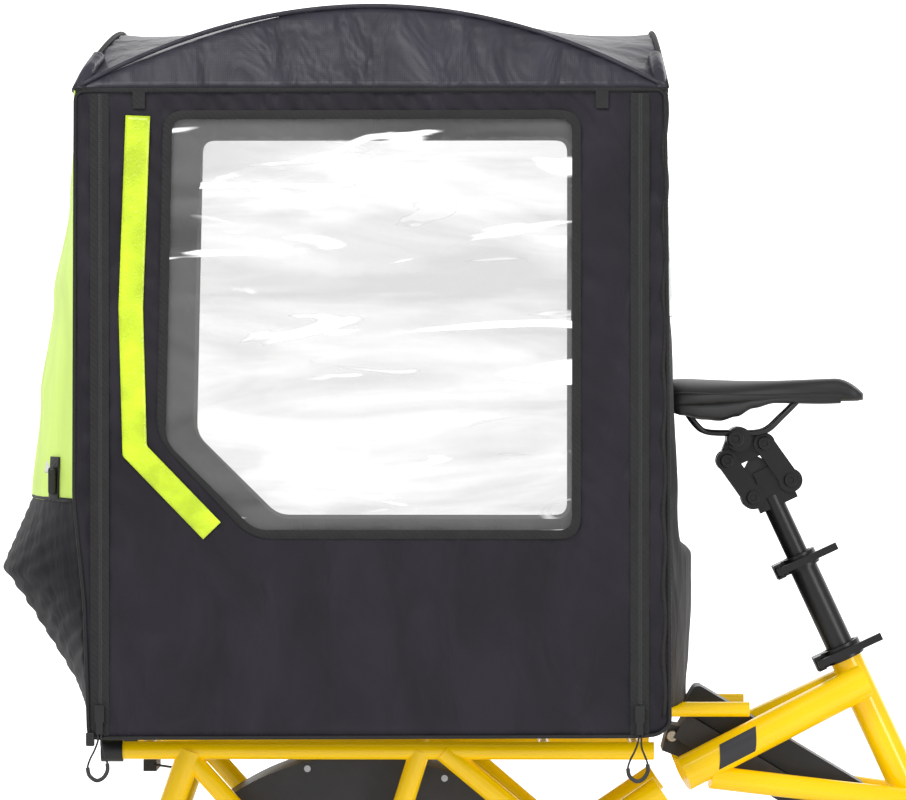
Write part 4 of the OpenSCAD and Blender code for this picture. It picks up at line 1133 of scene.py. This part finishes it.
def build_seat_head():
    """Bolt heads of the seat head's pivots and clamp, and the spring block between its links."""
    low_rear, low_front, top_rear = (joint_place(n) for n in ("rear_link_swing", "front_link_swing",
                                                              "saddle_head_level"))
    top_front = top_rear + low_front - low_rear
    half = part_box("link_rear")[1][1]
    for tag, place, body in (("low_rear", low_rear, "rear_link"), ("top_rear", top_rear, "rear_link"),
                             ("low_front", low_front, "front_link"), ("top_front", top_front, "front_link")):
        head = disc(f"seat_pivot_{tag}", (place[0], -half, place[2]), 0.0085, 0.003, "black", body)
    head_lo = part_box("seat_head")[0]
    cap = disc("seat_clamp_bolt", (CLAMP[0] - 0.001, head_lo[1], CLAMP[2] - 0.007), 0.0105, 0.003, "black",
               "saddle_head")
    turn = [Vector((math.cos(BLOCK_TILT), 0, -math.sin(BLOCK_TILT))), Vector((0, 1, 0)),
            Vector((math.sin(BLOCK_TILT), 0, math.cos(BLOCK_TILT)))]
    corners = [BLOCK_MIDDLE + sum((turn[k] * BLOCK_HALF[k] * side[k] for k in range(3)), Vector((0, 0, 0)))
               for side in BLOCK_CORNERS]
    block = add_object("seat_spring_block", corners,
                       [(3, 2, 1, 0), (4, 5, 6, 7), (0, 1, 5, 4), (1, 2, 6, 5), (2, 3, 7, 6), (3, 0, 4, 7)],
                       "plastic", "upper_seatpost", smooth=False)
    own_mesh(block)


def build_dock_bolt():
    """Round bolt head on the battery's dock, behind the right beam."""
    bolt = disc("dock_bolt", (AXLE_X + 0.376, -0.034, SEAM_Z - 0.770), 0.0065, 0.0022, "bronze")


def build_beam_plate():
    """Plain plate curved round the outside of the right beam."""
    start, end = Vector((AXLE_X + 0.6087, -0.032, 0.6359)), Vector((AXLE_X + 0.387, -0.078, 0.527))
    along = (end - start).normalized()
    out = (Vector((0, -1, 0)) - along * along.dot(Vector((0, -1, 0)))).normalized()
    up = along.cross(out) if along.cross(out)[2] > 0 else -along.cross(out)

    def point(u, v):
        a = math.radians(-38 + 76 * v)
        s = 0.155 + 0.050 * u - 0.014 * (v - 0.5)
        return start + along * s + 0.0218 * (math.cos(a) * out + math.sin(a) * up)

    grid("beam_plate", point, 14, 14, "grey_plastic")


def build_tread(tag, node, body):
    """Rows of low tread blocks round a tyre."""
    lo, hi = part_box(node)
    cx, cz = (lo[0] + hi[0]) / 2, (lo[2] + hi[2]) / 2
    outer, half = (hi[0] - lo[0]) / 2, (hi[1] - lo[1]) / 2
    verts, faces = [], []
    for row, (tilt, count, length) in enumerate(((0, 80, 0.013), (24, 76, 0.012), (-24, 76, 0.012),
                                                 (48, 70, 0.010), (-48, 70, 0.010))):
        for k in range(count):
            a0 = 2 * math.pi * (k + 0.5 * (row % 2)) / count
            da = length / 2 / outer
            base = len(verts)
            for r_add in (-0.001, 0.0012):
                for sa, sb in ((-1, -1), (1, -1), (1, 1), (-1, 1)):
                    b = math.radians(tilt + sb * 9)
                    ring = outer - half + (half + r_add) * math.cos(b)
                    a = a0 + sa * da
                    verts.append((cx + ring * math.cos(a), (half + r_add) * math.sin(b),
                                  cz + ring * math.sin(a)))
            faces += [(base + 4, base + 5, base + 6, base + 7)]
            faces += [(base + i, base + (i + 1) % 4, base + 4 + (i + 1) % 4, base + 4 + i) for i in range(4)]
    add_object(f"{tag}_tread", verts, faces, "tyre", body, smooth=False)


# ---------- stage ----------

class StageSettings(bpy.types.PropertyGroup):
    """Camera place, light and white surroundings."""
    distance: length_setting("Camera distance", "Distance of the camera from the middle plane", 5.0)
    height: length_setting("Camera height", "Height of the camera over the ground", 1.025)
    lens: bpy.props.FloatProperty(name="Focal length", description="Focal length in millimetres",
                                  default=162.8, min=1)
    key: bpy.props.FloatProperty(name="Key light", description="Power of the key light", default=90.0,
                                 min=0, unit="POWER")
    fill: bpy.props.FloatProperty(name="Room light", description="Strength of the even light all round",
                                  default=0.55, min=0)
    glow: bpy.props.FloatProperty(name="Backdrop light", description="Brightness of the far white sheet",
                                  default=1.1, min=0)
    floor_half: length_setting("Floor half width", "Half the width of the white floor", 4.0)


WHITE = (1, 1, 1)
LIT_PLACE = Vector((0, 0, 0.9))              # where the lights point
# Name, place, width and share of the key light's power
LIGHTS = [("Key", (-1.6, -3.2, 3.6), 2.2, 1.0), ("Rim", (2.4, 2.2, 3.2), 2.0, 0.5),
          ("Side strip", (2.6, -3.0, 1.4), 1.2, 0.35)]


def place_camera(scene, cfg):
    """The camera square to the cabin's right side, aimed a little behind the middle."""
    eye = Vector((AXLE_X + 0.188, -cfg.distance, cfg.height))
    aim = Vector((AXLE_X + 0.110, 0, 0.976))
    data = bpy.data.cameras.new("Camera")
    data.lens = cfg.lens
    data.sensor_width = 36
    data.clip_end = 100
    cam = bpy.data.objects.new("Camera", data)
    cam.location = eye
    cam.rotation_euler = (aim - eye).to_track_quat("-Z", "Y").to_euler()
    scene.collection.objects.link(cam)
    scene.camera = cam


def build_floor(half):
    """A white painted floor just under the tyres."""
    mat, shader, tree, coords = new_material("floor_paint", (0.93, 0.93, 0.93), 0.7)
    cloud = texture(tree, coords, "Noise", Scale=3, Detail=4)
    tree.links.new(mix_color(tree, cloud.outputs["Fac"], (0.90, 0.90, 0.90), (0.95, 0.95, 0.95)),
                   shader.inputs["Base Color"])
    MATS["floor"] = mat
    corners = [(-half, -half, -MM), (half, -half, -MM), (half, half, -MM), (-half, half, -MM)]
    add_object("stage_floor", corners, [(0, 1, 2, 3)], "floor", body=None)


def build_backdrop(glow):
    """A lit white sheet far behind the bicycle."""
    mat, shader, tree, coords = new_material("backdrop_glow", WHITE, 1.0)
    shader.inputs["Emission Color"].default_value = (*WHITE, 1)
    shader.inputs["Emission Strength"].default_value = glow
    MATS["backdrop"] = mat
    y, half_w, low, high = 9.5, 14, -3, 12
    corners = [(-half_w, y, low), (half_w, y, low), (half_w, y, high), (-half_w, y, high)]
    add_object("stage_backdrop", corners, [(0, 1, 2, 3)], "backdrop", body=None)


class BICYCLE_OT_stage(bpy.types.Operator):
    """Sets the camera, the floor, the world and the lights"""
    bl_idname = "bicycle.stage"
    bl_label = "Stage"

    def execute(self, context):
        cfg = context.scene.bicycle_stage
        context.scene.view_settings.view_transform = "Standard"
        place_camera(context.scene, cfg)
        build_floor(cfg.floor_half)
        build_backdrop(cfg.glow)
        world = bpy.data.worlds.new("White room")
        context.scene.world = world
        world.use_nodes = True
        sky = world.node_tree.nodes["Background"]
        sky.inputs["Color"].default_value = (*WHITE, 1)
        sky.inputs["Strength"].default_value = cfg.fill
        for name, place, width, share in LIGHTS:
            light = bpy.data.lights.new(name, "AREA")
            light.energy = cfg.key * share
            light.size = width
            lamp = bpy.data.objects.new(name, light)
            lamp.location = place
            lamp.rotation_euler = (LIT_PLACE - Vector(place)).to_track_quat("-Z", "Y").to_euler()
            context.scene.collection.objects.link(lamp)
        return {"FINISHED"}


# ---------- add-on ----------

class BICYCLE_PT_panel(bpy.types.Panel):
    """Settings and buttons in the sidebar"""
    bl_idname = "BICYCLE_PT_panel"
    bl_label = "Cargo bicycle"
    bl_space_type = "VIEW_3D"
    bl_region_type = "UI"
    bl_category = "Bicycle"

    def draw(self, context):
        scene = context.scene
        for group in (scene.bicycle_colors, scene.bicycle_cabin, scene.bicycle_saddle, scene.bicycle_stage):
            for name in group.bl_rna.properties.keys():
                if name not in ("rna_type", "name"):
                    self.layout.prop(group, name)
        for operator in OPERATORS:
            self.layout.operator(operator.bl_idname)


GROUPS = (ColorSettings, CabinSettings, SaddleSettings, StageSettings)
OPERATORS = (BICYCLE_OT_frame_finishes, BICYCLE_OT_small_parts, BICYCLE_OT_tyre_tread,
             BICYCLE_OT_rear_lens, BICYCLE_OT_cabin_sides, BICYCLE_OT_cabin_roof, BICYCLE_OT_cabin_rear,
             BICYCLE_OT_cabin_front, BICYCLE_OT_zip_pulls, BICYCLE_OT_saddle, BICYCLE_OT_stage)


def register():
    """Makes the settings, buttons and panel known to Blender."""
    for item in (*GROUPS, *OPERATORS, BICYCLE_PT_panel):
        bpy.utils.register_class(item)
    bpy.types.Scene.bicycle_colors = bpy.props.PointerProperty(type=ColorSettings)
    bpy.types.Scene.bicycle_cabin = bpy.props.PointerProperty(type=CabinSettings)
    bpy.types.Scene.bicycle_saddle = bpy.props.PointerProperty(type=SaddleSettings)
    bpy.types.Scene.bicycle_stage = bpy.props.PointerProperty(type=StageSettings)


def unregister():
    """Takes them away again."""
    for name in ("bicycle_colors", "bicycle_cabin", "bicycle_saddle", "bicycle_stage"):
        delattr(bpy.types.Scene, name)
    for item in reversed((*GROUPS, *OPERATORS, BICYCLE_PT_panel)):
        bpy.utils.unregister_class(item)


def main():
    """Builds every piece in order."""
    register()
    make_materials(bpy.context.scene.bicycle_colors)
    for operator in OPERATORS:
        group, name = operator.bl_idname.split(".")
        getattr(getattr(bpy.ops, group), name)()


if __name__ == "__main__":
    main()
